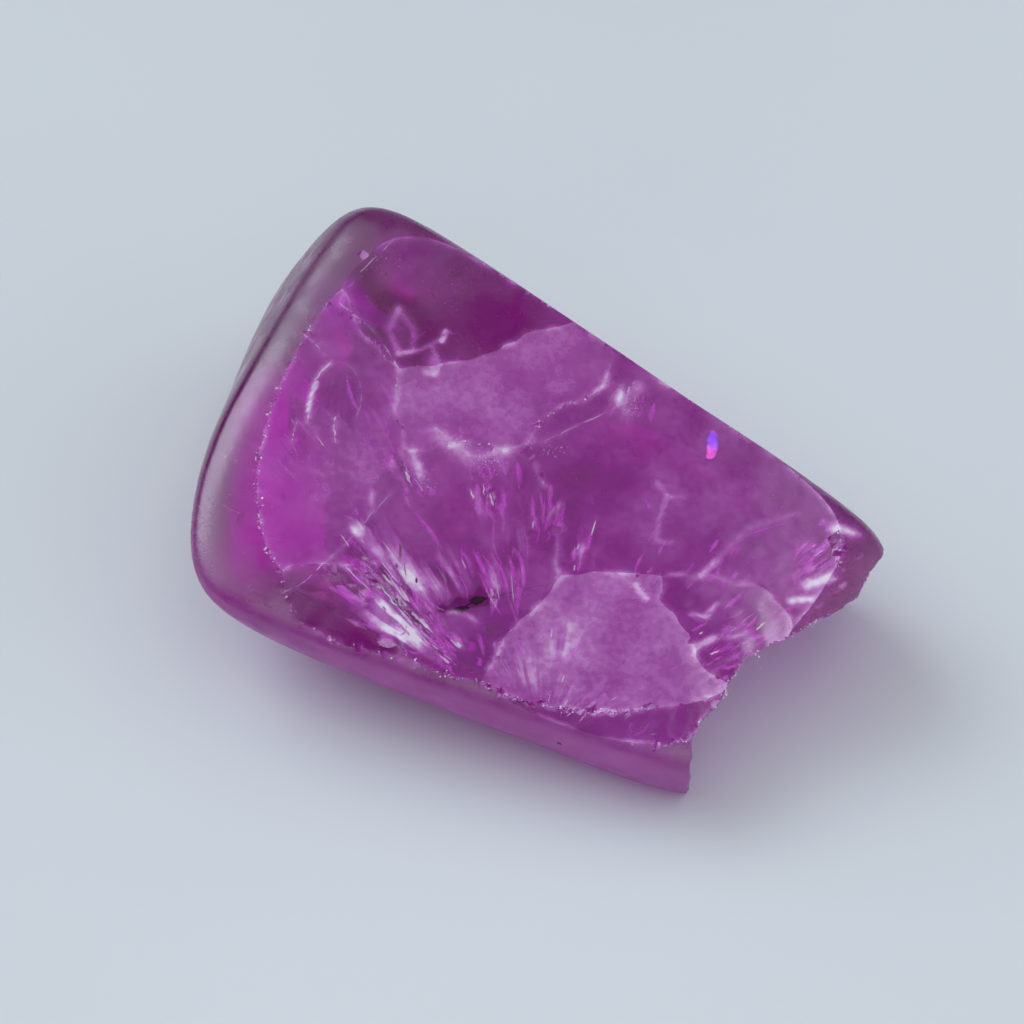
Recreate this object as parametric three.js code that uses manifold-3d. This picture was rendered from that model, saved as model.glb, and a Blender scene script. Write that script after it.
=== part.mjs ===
// Rough zircon: one broken chunk of clear crystal, in millimetres, +Z up, lying on a flat underside.
// The worn skin is a rounded block. The top broke open as shallow bowls that meet in ridges, and the
// +X end is snapped off in a slanting break with a notch in it. The origin is under the middle, on the
// surface that the stone rests on.

import * as THREE from "three";
import { mergeVertices } from "three/addons/utils/BufferGeometryUtils.js";
import Module from "manifold-3d";

const wasm = await Module();
wasm.setup();

// Driving dimensions, in a frame whose origin is near the middle of the stone.
const CORE = new THREE.Vector3(0, 0, -3); // the point that the skin's distances are measured from
const FLAT_HEIGHT = -8; // the flat underside
const ROUNDING = 9; // exponent of the skin's edges: a higher one makes them sharper
const SKIN_DETAIL = 17; // how finely the skin is divided
const PLUG_RINGS = 12; // how finely a bowl is divided, outward
const PLUG_SPOKES = 36; // and around
const PLUG_REACH = 26; // the farthest that a bowl reaches from its middle
const PLUG_HEIGHT = 12;
const BEYOND = 60; // longer than the stone is across, for cutters that have to clear it

// The worn skin, as the faces of a rounded block: where each looks and how far it is from the core.
const SKIN_FACES = [
  { name: "top", azimuth: -62, elevation: 70, distance: 3.9 },
  { name: "underside", azimuth: 0, elevation: -90, distance: 6.5 },
  { name: "near wall", azimuth: -82, elevation: -6, distance: 10.1 },
  { name: "near wall, below", azimuth: -93, elevation: -49, distance: 7.8 },
  { name: "left end, above", azimuth: -170, elevation: 31, distance: 15.7 },
  { name: "left end, below", azimuth: -151, elevation: -23, distance: 14.2 },
  { name: "left underside", azimuth: -154, elevation: -55, distance: 10.1 },
  { name: "far wall, above", azimuth: 73, elevation: 39, distance: 11.4 },
  { name: "far wall", azimuth: 83, elevation: -6, distance: 11.8 },
  { name: "far left", azimuth: 106, elevation: -11, distance: 19.3 },
  { name: "right end", azimuth: -5, elevation: -17, distance: 15.9 },
];

// The bowls of the broken top and end: the lowest point of each, where it looks, and its radius of
// curvature.
const BOWLS = [
  { name: "left", at: [-9.5, -1.2, 1.7], azimuth: -41, elevation: 68, radius: 68 },
  { name: "upper", at: [-10.5, 6.9, 4.5], azimuth: -41, elevation: 63, radius: 38 },
  { name: "upper middle", at: [-2.7, 4.1, 1.3], azimuth: -55, elevation: 69, radius: 42 },
  { name: "centre", at: [-1.0, -1.2, -0.8], azimuth: -50, elevation: 72, radius: 31 },
  { name: "near left", at: [-5.1, -8.5, -1.2], azimuth: -44, elevation: 71, radius: 17 },
  { name: "near middle", at: [1.9, -7.8, -2.3], azimuth: -44, elevation: 85, radius: 14 },
  { name: "near right", at: [6.7, -4.1, -2.6], azimuth: -59, elevation: 78, radius: 27 },
  { name: "near ledge", at: [8.4, -7.4, -3.2], azimuth: -63, elevation: 73, radius: 40 },
  { name: "right", at: [5.1, 3.9, -0.2], azimuth: -69, elevation: 71, radius: 52 },
  { name: "right, below", at: [11.1, -1.7, -2.3], azimuth: -89, elevation: 80, radius: 16 },
  { name: "break, tip side", at: [12.6, 5.6, -5.7], azimuth: -25, elevation: -43, radius: 9 },
  { name: "break, near side", at: [10.9, -0.4, -6.2], azimuth: 4, elevation: -25, radius: 9 },
];

// Broad, shallow old chips low on the hidden side: the way to each from the core, how deep it goes, and
// its radius of curvature.
const CHIPS = [
  { name: "far wall", azimuth: 74, elevation: -24, depth: 0.7, radius: 24 },
  { name: "far left", azimuth: 140, elevation: -18, depth: 0.5, radius: 16 },
];

// The break across the +X end. It runs straight along the direction that BREAK gives, and its outline
// is seen along that direction, across and up from the origin: down the tip, in to the notch, and out.
const BREAK = { azimuth: -62, elevation: 41 };
const BREAK_OUTLINE = [
  [BEYOND, 1],
  [18.1, -0.8],
  [17.9, -2.0],
  [16.6, -3.9],
  [13.9, -5.3],
  [11.0, -6.7],
  [9.7, -8.9],
  [8.5, -10.4],
  [8.2, -14],
  [8.2, -BEYOND],
  [BEYOND, -BEYOND],
];

const radians = THREE.MathUtils.degToRad;

function direction(azimuth, elevation) {
  const flat = Math.cos(radians(elevation));
  return new THREE.Vector3(
    flat * Math.cos(radians(azimuth)),
    flat * Math.sin(radians(azimuth)),
    Math.sin(radians(elevation)),
  );
}

// A closed three.js geometry as a solid that can be cut.
function solid(geometry) {
  const bare = geometry.clone();
  for (const name of Object.keys(bare.attributes))
    if (name !== "position") bare.deleteAttribute(name);
  const merged = mergeVertices(bare, 1e-4);
  return new wasm.Manifold(
    new wasm.Mesh({
      numProp: 3,
      vertProperties: new Float32Array(merged.attributes.position.array),
      triVerts: new Uint32Array(merged.index.array),
    }),
  );
}

const skinFaces = SKIN_FACES.map(({ azimuth, elevation, distance }) => ({
  out: direction(azimuth, elevation),
  distance,
}));

// Where the skin lies, going out from the core along a unit direction.
function onSkin(out) {
  let sum = 0;
  for (const face of skinFaces) sum += Math.max(0, out.dot(face.out) / face.distance) ** ROUNDING;
  return out.clone().multiplyScalar(sum ** (-1 / ROUNDING)).add(CORE);
}

// The unbroken stone: a sphere with every vertex moved out to the skin.
function skin() {
  const geometry = new THREE.IcosahedronGeometry(1, SKIN_DETAIL);
  const position = geometry.attributes.position;
  const out = new THREE.Vector3();
  for (let i = 0; i < position.count; i++) {
    out.fromBufferAttribute(position, i).normalize();
    position.setXYZ(i, ...onSkin(out));
  }
  return geometry;
}

// A plug with a round bottom, which cuts a bowl whose lowest point is at a given place.
function plug(at, out, radius) {
  const reach = Math.min(PLUG_REACH, radius * 0.85);
  const profile = [];
  for (let i = 0; i <= PLUG_RINGS; i++) {
    const across = (reach * i) / PLUG_RINGS;
    profile.push(new THREE.Vector2(across, radius - Math.sqrt(radius ** 2 - across ** 2)));
  }
  profile.push(new THREE.Vector2(0, profile[PLUG_RINGS].y + PLUG_HEIGHT));
  const turn = new THREE.Quaternion().setFromUnitVectors(new THREE.Vector3(0, 1, 0), out);
  return new THREE.LatheGeometry(profile, PLUG_SPOKES).applyQuaternion(turn).translate(...at);
}

function bowl({ at, azimuth, elevation, radius }) {
  return plug(at, direction(azimuth, elevation), radius);
}

// The way that the skin looks, where it is met going out from the core along a unit direction.
function skinNormal(out) {
  const normal = new THREE.Vector3();
  for (const face of skinFaces) {
    const share = Math.max(0, out.dot(face.out) / face.distance) ** (ROUNDING - 1);
    normal.addScaledVector(face.out, share / face.distance);
  }
  return normal.normalize();
}

function chip({ azimuth, elevation, depth, radius }) {
  const out = direction(azimuth, elevation);
  const normal = skinNormal(out);
  return plug(onSkin(out).addScaledVector(normal, -depth), normal, radius);
}

function slantingBreak() {
  const outline = new THREE.Shape(BREAK_OUTLINE.map(([across, up]) => new THREE.Vector2(across, up)));
  const along = direction(BREAK.azimuth, BREAK.elevation);
  const across = new THREE.Vector3(0, 0, 1).cross(along).normalize();
  const up = along.clone().cross(across);
  const turn = new THREE.Matrix4().makeBasis(across, up, along);
  return new THREE.ExtrudeGeometry(outline, { depth: 2 * BEYOND, bevelEnabled: false })
    .translate(0, 0, -BEYOND)
    .applyMatrix4(turn);
}

function below(height) {
  return new THREE.BoxGeometry(2 * BEYOND, 2 * BEYOND, BEYOND).translate(0, 0, height - BEYOND / 2);
}

function brokenStone() {
  const cutters = [below(FLAT_HEIGHT), slantingBreak(), ...BOWLS.map(bowl), ...CHIPS.map(chip)];
  return cutters.reduce((stone, cutter) => stone.subtract(solid(cutter)), solid(skin()));
}

// The solid as a three.js geometry, moved so that it stands on the origin.
function standing(manifold) {
  const mesh = manifold.getMesh();
  const geometry = new THREE.BufferGeometry();
  geometry.setAttribute("position", new THREE.BufferAttribute(new Float32Array(mesh.vertProperties), 3));
  geometry.setIndex(new THREE.BufferAttribute(new Uint32Array(mesh.triVerts), 1));
  geometry.computeBoundingBox();
  const middle = geometry.boundingBox.getCenter(new THREE.Vector3());
  geometry.translate(-middle.x, -middle.y, -geometry.boundingBox.min.z);
  geometry.computeVertexNormals();
  return geometry;
}

const stone = new THREE.Mesh(
  standing(brokenStone()),
  new THREE.MeshStandardMaterial({ color: 0x9a4a9a, roughness: 0.1, metalness: 0 }),
);
stone.name = "rough_zircon";

const group = new THREE.Group();
group.add(stone);
export default group;
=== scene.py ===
"""Rough zircon: one broken chunk of clear magenta crystal, with its flaws inside, on a pale studio floor.

The stone is made in millimetres, in the frame that its dimensions are given in, whose origin is near its
middle. The finished meshes are then scaled to metres and put where the CAD solid lies.
"""

import math

import bmesh
import bpy
import numpy as np
from mathutils import Matrix, Quaternion, Vector
from mathutils.bvhtree import BVHTree
from mathutils.kdtree import KDTree

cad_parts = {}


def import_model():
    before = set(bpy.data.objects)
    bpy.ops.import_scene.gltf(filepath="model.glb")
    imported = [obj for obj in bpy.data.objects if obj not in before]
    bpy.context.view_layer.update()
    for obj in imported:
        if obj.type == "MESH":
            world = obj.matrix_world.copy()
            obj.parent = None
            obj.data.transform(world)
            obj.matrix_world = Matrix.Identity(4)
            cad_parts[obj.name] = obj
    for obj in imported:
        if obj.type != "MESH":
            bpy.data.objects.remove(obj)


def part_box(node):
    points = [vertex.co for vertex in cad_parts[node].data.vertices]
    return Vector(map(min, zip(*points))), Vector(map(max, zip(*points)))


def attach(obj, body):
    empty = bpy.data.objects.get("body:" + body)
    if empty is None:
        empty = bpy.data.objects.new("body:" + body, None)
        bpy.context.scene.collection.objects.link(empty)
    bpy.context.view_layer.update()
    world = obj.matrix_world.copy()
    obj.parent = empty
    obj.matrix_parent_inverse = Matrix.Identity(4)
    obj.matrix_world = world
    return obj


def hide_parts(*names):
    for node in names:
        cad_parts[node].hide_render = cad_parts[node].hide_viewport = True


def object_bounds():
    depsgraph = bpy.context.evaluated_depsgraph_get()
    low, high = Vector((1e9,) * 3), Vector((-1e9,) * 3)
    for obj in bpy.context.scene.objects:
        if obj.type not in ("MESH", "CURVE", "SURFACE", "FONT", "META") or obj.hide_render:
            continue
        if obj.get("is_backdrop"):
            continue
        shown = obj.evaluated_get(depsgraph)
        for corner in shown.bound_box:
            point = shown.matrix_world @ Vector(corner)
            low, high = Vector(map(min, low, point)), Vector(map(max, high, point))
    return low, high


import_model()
cad_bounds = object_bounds()

MM = 0.001
STONE = "rough_zircon"
LOWEST_CORNER = (-19.649, -10.904, -8.0)  # of the CAD solid's box, in the stone's own frame, in mm
ORIGIN = np.array(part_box(STONE)[0]) / MM - LOWEST_CORNER  # where the stone's own origin lies, in mm

# ---------------------------------------------------------------- the stone's dimensions, in mm and degrees

CORE = np.array([0.0, 0.0, -3.0])  # the point that the skin's distances are measured from
FLAT_HEIGHT = -8.0  # the flat underside
ROUNDING = 9  # exponent of the skin's edges: a higher one makes them sharper
PLUG_REACH = 26.0  # the farthest that a bowl reaches from its middle
PLUG_SHARE = 0.85  # the same, as a share of its radius
PLUG_HEIGHT = 12.0
BEYOND = 60.0  # longer than the stone is across

# The worn skin, as the faces of a rounded block: azimuth, elevation, and distance from the core.
SKIN_FACES = {
    "top": (-62, 70, 3.9),
    "underside": (0, -90, 6.5),
    "near wall": (-82, -6, 10.1),
    "near wall, below": (-93, -49, 7.8),
    "left end, above": (-170, 31, 15.7),
    "left end, below": (-151, -23, 14.2),
    "left underside": (-154, -55, 10.1),
    "far wall, above": (73, 39, 11.4),
    "far wall": (83, -6, 11.8),
    "far left": (106, -11, 19.3),
    "right end": (-5, -17, 15.9),
}

# The bowls of the broken top and end: lowest point, azimuth and elevation that it looks to, and radius.
BOWLS = {
    "left": ((-9.5, -1.2, 1.7), -41, 68, 68),
    "upper": ((-10.5, 6.9, 4.5), -41, 63, 38),
    "upper middle": ((-2.7, 4.1, 1.3), -55, 69, 42),
    "centre": ((-1.0, -1.2, -0.8), -50, 72, 31),
    "near left": ((-5.1, -8.5, -1.2), -44, 71, 17),
    "near middle": ((1.9, -7.8, -2.3), -44, 85, 14),
    "near right": ((6.7, -4.1, -2.6), -59, 78, 27),
    "near ledge": ((8.4, -7.4, -3.2), -63, 73, 40),
    "right": ((5.1, 3.9, -0.2), -69, 71, 52),
    "right, below": ((11.1, -1.7, -2.3), -89, 80, 16),
    "break, tip side": ((12.6, 5.6, -5.7), -25, -43, 9),
    "break, near side": ((10.9, -0.4, -6.2), 4, -25, 9),
}

# Broad old chips low on the hidden side: azimuth and elevation from the core, depth, and radius.
CHIPS = {
    "far wall": (74, -24, 0.7, 24),
    "far left": (140, -18, 0.5, 16),
}

# The break across the +X end runs straight along a direction, and its outline is seen along that.
BREAK_AZIMUTH, BREAK_ELEVATION = -62, 41
BREAK_OUTLINE = (
    (BEYOND, 1), (18.1, -0.8), (17.9, -2.0), (16.6, -3.9), (13.9, -5.3), (11.0, -6.7),
    (9.7, -8.9), (8.5, -10.4), (8.2, -14), (8.2, -BEYOND),
)
BREAK_SHIFT = np.array([0.857, -0.514])  # the way out of the stone, across and up the break's outline
BREAK_LEVEL = np.array([0.514, 0.857])  # square to that, along the outline

# Where the fracture of the low near side began. Its hackles run out from there.
FRACTURE_START = np.array([6.9, -9.9, -3.5])

# How each fracture face is broken, beside its plain bowl: the depth of its broad unevenness; its ripples'
# starting point, spacing and height; its hackles' height; the spacing of its grid; and how hazy it is.
# A face's haze is a pale cover, partly frosting and partly painted sheen, the sky's reflection on the face.
PLAIN = {"uneven": 0.05, "haze_and_sheen": 0.0}
RELIEF = {
    "left": {"uneven": 0.04, "ripple": ((-15, 9, 3), 1.3, 0.012), "grid": 0.14, "haze_and_sheen": 0.22},
    "upper": {"uneven": 0.05, "haze_and_sheen": 0.0},
    "upper middle": {"uneven": 0.06, "ripple": ((-9, 9, 3), 1.1, 0.008), "haze_and_sheen": 0.28},
    "centre": {"uneven": 0.06, "hackle": 0.07, "grid": 0.10, "haze_and_sheen": 0.16},
    "near left": {"uneven": 0.10, "hackle": 0.12, "ripple": (FRACTURE_START, 1.1, 0.015), "grid": 0.09},
    "near middle": {"uneven": 0.10, "ripple": (FRACTURE_START, 0.9, 0.02), "grid": 0.10, "haze_and_sheen": 0.17},
    "near right": {"uneven": 0.03, "haze_and_sheen": 0.40},
    "near ledge": {"uneven": 0.05, "ripple": ((4, -9, -3), 0.8, 0.015), "grid": 0.12, "haze_and_sheen": 0.10},
    "right": {"uneven": 0.05, "haze_and_sheen": 0.17},
    "right, below": {"uneven": 0.10, "ripple": ((9, -4, -3), 1.3, 0.015), "haze_and_sheen": 0.18},
    "break, tip side": {"uneven": 0.35, "ripple": ((14, 8, -2), 1.2, 0.10)},
    "break, near side": {"uneven": 0.35, "ripple": ((9, -3, -4), 1.0, 0.10)},
}

# Stretches of edge that were crushed: where each begins and ends, how many flakes came off it, the
# smallest and the largest, and how many white grains are left on it.
CRUSHED = {
    "left edge, above": ((-13.4, 3.4, 4.2), (-11.6, -3.0, 1.9), 26, 0.05, 0.18, 80),
    "left edge, below": ((-11.6, -3.0, 1.9), (-7.8, -9.7, -0.8), 30, 0.05, 0.16, 90),
    "near edge": ((-7.2, -9.9, -1.0), (3.2, -8.7, -2.4), 40, 0.06, 0.22, 60),
    "ledge": ((3.2, -8.7, -2.4), (12.9, -6.3, -3.3), 70, 0.06, 0.24, 70),
    "above the ledge": ((4.0, -8.0, -2.8), (10.5, -5.6, -3.1), 60, 0.05, 0.22, 70),
    "upper ridge": ((-13.4, 4.9, 4.5), (-7.0, 2.5, 2.4), 20, 0.05, 0.18, 20),
    "middle ridge": ((-5.4, 2.2, 1.4), (2.6, 8.5, 1.9), 24, 0.05, 0.20, 40),
    "far edge": ((-7.4, 10.6, 4.8), (9.5, 9.6, 1.4), 30, 0.08, 0.35, 20),
    "tip": ((15.2, 6.4, 0.1), (16.7, 3.4, -1.2), 40, 0.08, 0.36, 50),
    "rim of the break": ((16.4, 2.6, -1.3), (12.6, -6.0, -3.2), 80, 0.08, 0.34, 110),
}
STRAY_FLAKES = 120  # small flakes anywhere on the edges
PITS = 46  # knocks anywhere on the worn skin

# Sizes and depths that are drawn with mostly_small: the least, how much more, and the power if it isn't 3.
STRAY_SIZE = (0.06, 0.20)
PIT_SIZE = (0.05, 0.12)
GRAIN_SIZE = (0.015, 0.05)
CRACK_LENGTH = (0.25, 1.1)
CRACK_DEPTH = (0.25, 4, 2)
FEATHER_DEPTH = (0.15, 0.5, 2)
SPECK_SIZE = (0.3, 1.2)  # in plates
SPECK_DEPTH = (0.1, 2.5, 2)

# Cracks: middle, azimuth and elevation that each looks to, the way it runs, length, width, and gap.
CRACKS = {
    "penny": ((-10.3, 1.0, 1.9), -120, 68, (0.3, 1.0, 0.3), 2.9, 2.1, 0.04),
    "lilac plane": ((-3.9, 5.8, 0.9), -88, 77, (1.0, 0.6, 0.0), 4.6, 3.4, 0.05),
    "speck, large": ((11.4, -1.4, -2.7), -100, 70, (0.4, 1.0, 0.3), 0.9, 0.5, 0.04),
    "speck, left": ((10.4, -0.3, -2.5), -90, 66, (1.0, 0.2, 0.0), 0.9, 0.25, 0.04),
    "speck, upper": ((10.8, 0.3, -2.3), -110, 66, (0.2, 1.0, 0.3), 0.8, 0.22, 0.04),
    "speck, right": ((12.5, -0.6, -2.5), -80, 66, (0.6, 0.6, 0.0), 0.7, 0.3, 0.04),
    "speck, ridge": ((7.3, -0.4, -2.1), -100, 70, (1.0, -0.6, -0.2), 1.0, 0.3, 0.04),
    "speck, tip": ((14.9, 6.2, -0.5), -100, 70, (1.0, 0.1, 0.0), 0.9, 0.6, 0.04),
    "speck, tip, below": ((15.0, 3.3, -1.3), -90, 72, (1.0, 0.6, 0.0), 1.0, 0.6, 0.04),
    "speck, break": ((14.6, 2.1, -1.7), -90, 70, (1.0, 0.3, 0.0), 0.9, 0.4, 0.04),
    "sparkle": ((-7.4, 6.8, 2.9), -100, 72, (0.6, 0.9, 0.2), 0.7, 0.3, 0.04),
    "spot": ((-7.9, 8.5, 3.6), -100, 70, (1.0, 0.3, 0.0), 0.8, 0.4, 0.04),
    "deep, left": ((-12.5, 1.0, -2.0), 20, 30, (0.0, 1.0, 0.6), 5.0, 3.0, 0.05),
    "deep, far": ((-2.0, 8.5, -3.0), 80, 20, (1.0, 0.1, 0.2), 6.0, 3.0, 0.05),
    "deep, right": ((9.0, 3.5, -4.5), -20, 55, (0.4, 1.0, 0.1), 4.5, 2.6, 0.05),
}

# Narrow hollows, each along a line of points, with its radius.
HOLLOWS = {
    "stem": (((-9.6, 4.4, 2.6), (-8.9, 5.3, 2.6), (-8.4, 6.5, 2.8)), 0.12),
    "curl": (
        ((4.0, -3.9, -2.7), (4.6, -4.9, -3.0), (5.5, -5.1, -3.2), (5.6, -3.9, -3.0), (5.0, -3.2, -2.8)),
        0.17,
    ),
    "twig": (((5.4, 5.0, -0.3), (6.2, 4.6, -0.5), (6.3, 3.5, -0.9), (6.7, 2.3, -1.3)), 0.085),
    "twig's fork": (((6.2, 4.6, -0.5), (6.9, 4.9, -0.5)), 0.05),
    "twig's foot": (((5.9, 2.0, -1.2), (6.7, 2.3, -1.3), (7.4, 2.5, -1.2)), 0.08),
    "arc": (
        ((10.0, 2.1, -1.7), (10.0, 3.0, -1.4), (10.5, 4.6, -1.0), (11.4, 5.4, -0.7), (12.4, 6.2, -0.4)),
        0.09,
    ),
    "arc's foot": (((9.6, 1.6, -1.8), (10.2, 2.4, -1.6)), 0.20),
}

# Flat angular pockets: middle, size along three axes, the way each looks, and the way it runs.
POCKETS = {
    "diamond": ((-9.0, 5.4, 2.8), (1.3, 0.7, 0.30), (-110, 66), (0.3, 1.0, 0.3)),
    "drop": ((-7.1, 4.9, 2.3), (0.55, 0.4, 0.25), (-80, 60), (0.3, 1.0, 0.2)),
    "glint": ((-7.2, 6.7, 3.0), (0.5, 0.24, 0.15), (-110, 70), (0.5, 1.0, 0.2)),
}

# The one dark needle: its line, and the fat places on it, each as a point and a length and thickness.
NEEDLE = ((-1.5, -6.3, -2.3), (-0.1, -5.2, -2.3), (0.4, -4.5, -2.2), (2.4, -2.3, -2.3), (4.6, -0.3, -2.3))
NEEDLE_RADIUS = 0.035
BEAD_ROOM = 0.36  # how far flakes and splinters keep from a bead, seen from above
NEEDLE_BEADS = (((-0.1, -5.3, -2.3), 0.95, 0.34), ((0.4, -4.4, -2.2), 0.80, 0.46))

# The flake that shows rainbow colours: its middle, the way it runs, and its size.
FLAKE = ((6.9, 8.0, 0.75), (0.3, -0.9, -0.3), 1.5, 0.62)

# Clouds of tiny bright plates: middle, how far each spreads along three axes, and how many.
CLOUDS = {
    "ridge, left": ((-4.8, 2.0, 1.1), (1.3, 0.5, 0.2), 260),
    "ridge, middle": ((-2.9, 2.2, 0.6), (1.2, 0.7, 0.2), 340),
    "ridge, right": ((-0.6, 4.2, 0.8), (1.3, 0.6, 0.2), 200),
    "far end of the ridge": ((2.2, 8.2, 1.7), (0.7, 0.9, 0.2), 320),
    "bright patch": ((-5.2, -0.3, 0.4), (0.9, 0.7, 0.3), 300),
    "near white": ((-2.4, -8.3, -2.1), (1.5, 0.7, 0.2), 340),
    "tip": ((15.3, 4.6, -0.9), (0.9, 1.5, 0.4), 260),
    "break": ((13.2, -0.8, -2.6), (1.7, 1.6, 0.5), 240),
    "near right": ((4.6, -6.9, -2.9), (0.9, 0.8, 0.2), 260),
    "top": ((-11.6, 8.2, 5.2), (0.9, 1.6, 0.2), 60),
}
CLOUD_PLATE = 0.045  # the size of a plate

# Where the fracture is splintered: middle and spread seen from above, how frosted it is, how many thin
# curved cracks, called feathers, lie just under it with the longest and the widest, and how many loose
# splinters lie on it.
# The frosting of the splintered places is partly real and partly painted highlight, the window's light on
# the hackles.
SPLINTERED = {
    "left": ((-4.0, -6.0), (1.4, 1.5), 1.05, 40, 5.0, 0.60, 8),
    "left, far side": ((-5.9, -4.6), (0.5, 1.0), 0.35, 8, 1.8, 0.40, 4),
    "near edge": ((-1.9, -7.9), (1.5, 0.9), 1.45, 30, 2.4, 0.90, 6),
    "near edge, right": ((0.6, -7.4), (0.9, 1.0), 0.20, 14, 1.4, 0.60, 6),
    "middle": ((-1.4, -4.6), (1.4, 1.9), 0.32, 24, 4.6, 0.35, 3),
    "violet": ((0.6, -2.6), (0.8, 2.2), 0.32, 22, 4.6, 0.45, 2),
    "upper": ((-1.6, 0.3), (0.8, 0.7), 0.50, 14, 1.8, 0.50, 3),
    "upper, right": ((1.4, 1.2), (1.0, 0.9), 0.30, 14, 2.0, 0.45, 1),
    "far right": ((3.6, 0.4), (0.7, 1.1), 0.30, 10, 1.6, 0.35, 3),
    "bright patch": ((-5.4, -0.2), (1.1, 0.8), 0.45, 22, 1.3, 0.60, 3),
    "veil": ((-2.7, 2.1), (1.9, 0.7), 0.20, 14, 2.2, 0.60, 0),
    "far end of the ridge": ((2.2, 8.2), (0.7, 0.9), 0.50, 8, 1.1, 0.35, 5),
    "left face": ((-10.6, -2.4), (1.1, 3.6), 0.10, 20, 1.8, 0.25, 2),
    "left face, right side": ((-8.2, 0.6), (1.2, 2.6), 0.10, 16, 2.4, 0.45, 0),
    "curl": ((5.0, -4.5), (0.8, 0.8), 0.10, 10, 1.2, 0.40, 2),
    "low right": ((3.6, -6.6), (1.0, 1.2), 0.10, 12, 1.6, 0.40, 0),
    "ledge": ((7.2, -7.2), (3.4, 0.8), 0.12, 26, 1.6, 0.30, 8),
    "right": ((7.5, 1.5), (2.5, 2.5), 0.0, 14, 1.6, 0.35, 0),
    "tip": ((14.8, 4.4), (1.5, 1.8), 0.30, 44, 1.4, 0.55, 5),
    "over the break": ((12.9, -1.2), (1.9, 2.2), 0.12, 44, 1.3, 0.50, 6),
}

# Bright broken lines on the surface: the points that each passes, seen from above, and its width.
BRIGHT_LINES = {
    "penny, bright side": (((-11.3, 2.1), (-11.5, 1.1), (-11.3, 0.2), (-11.0, -0.5), (-10.8, -1.1)), 0.085),
    "penny, top": (((-11.3, 2.1), (-10.7, 2.5), (-9.9, 2.3), (-9.2, 1.5), (-8.9, 0.4)), 0.008),
    "left, short": (((-11.2, -1.4), (-11.1, -1.9), (-10.9, -2.4)), 0.035),
    "right, short": (((-9.8, -0.1), (-9.5, -0.7), (-9.1, -1.3)), 0.035),
    "hairline": (((-13.1, 2.6), (-12.4, 2.5), (-11.7, 2.3)), 0.025),
    "straight": (((-12.4, 5.0), (-12.1, 7.1), (-11.5, 9.2)), 0.018),
    "upper ridge": (((-12.3, 4.9), (-11.2, 4.8), (-10.3, 4.7), (-9.2, 4.2), (-8.1, 3.6)), 0.035),
    "middle ridge": (
        ((-5.5, 2.2), (-3.9, 1.9), (-2.9, 2.1), (-1.4, 3.5), (-0.4, 4.4), (0.5, 5.7), (1.8, 7.3)), 0.022,
    ),
    "near ridge": (
        ((-7.5, -9.5), (-7.0, -8.5), (-6.6, -7.2), (-6.2, -5.7), (-5.9, -3.5), (-5.6, -1.7)), 0.022,
    ),
}

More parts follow.
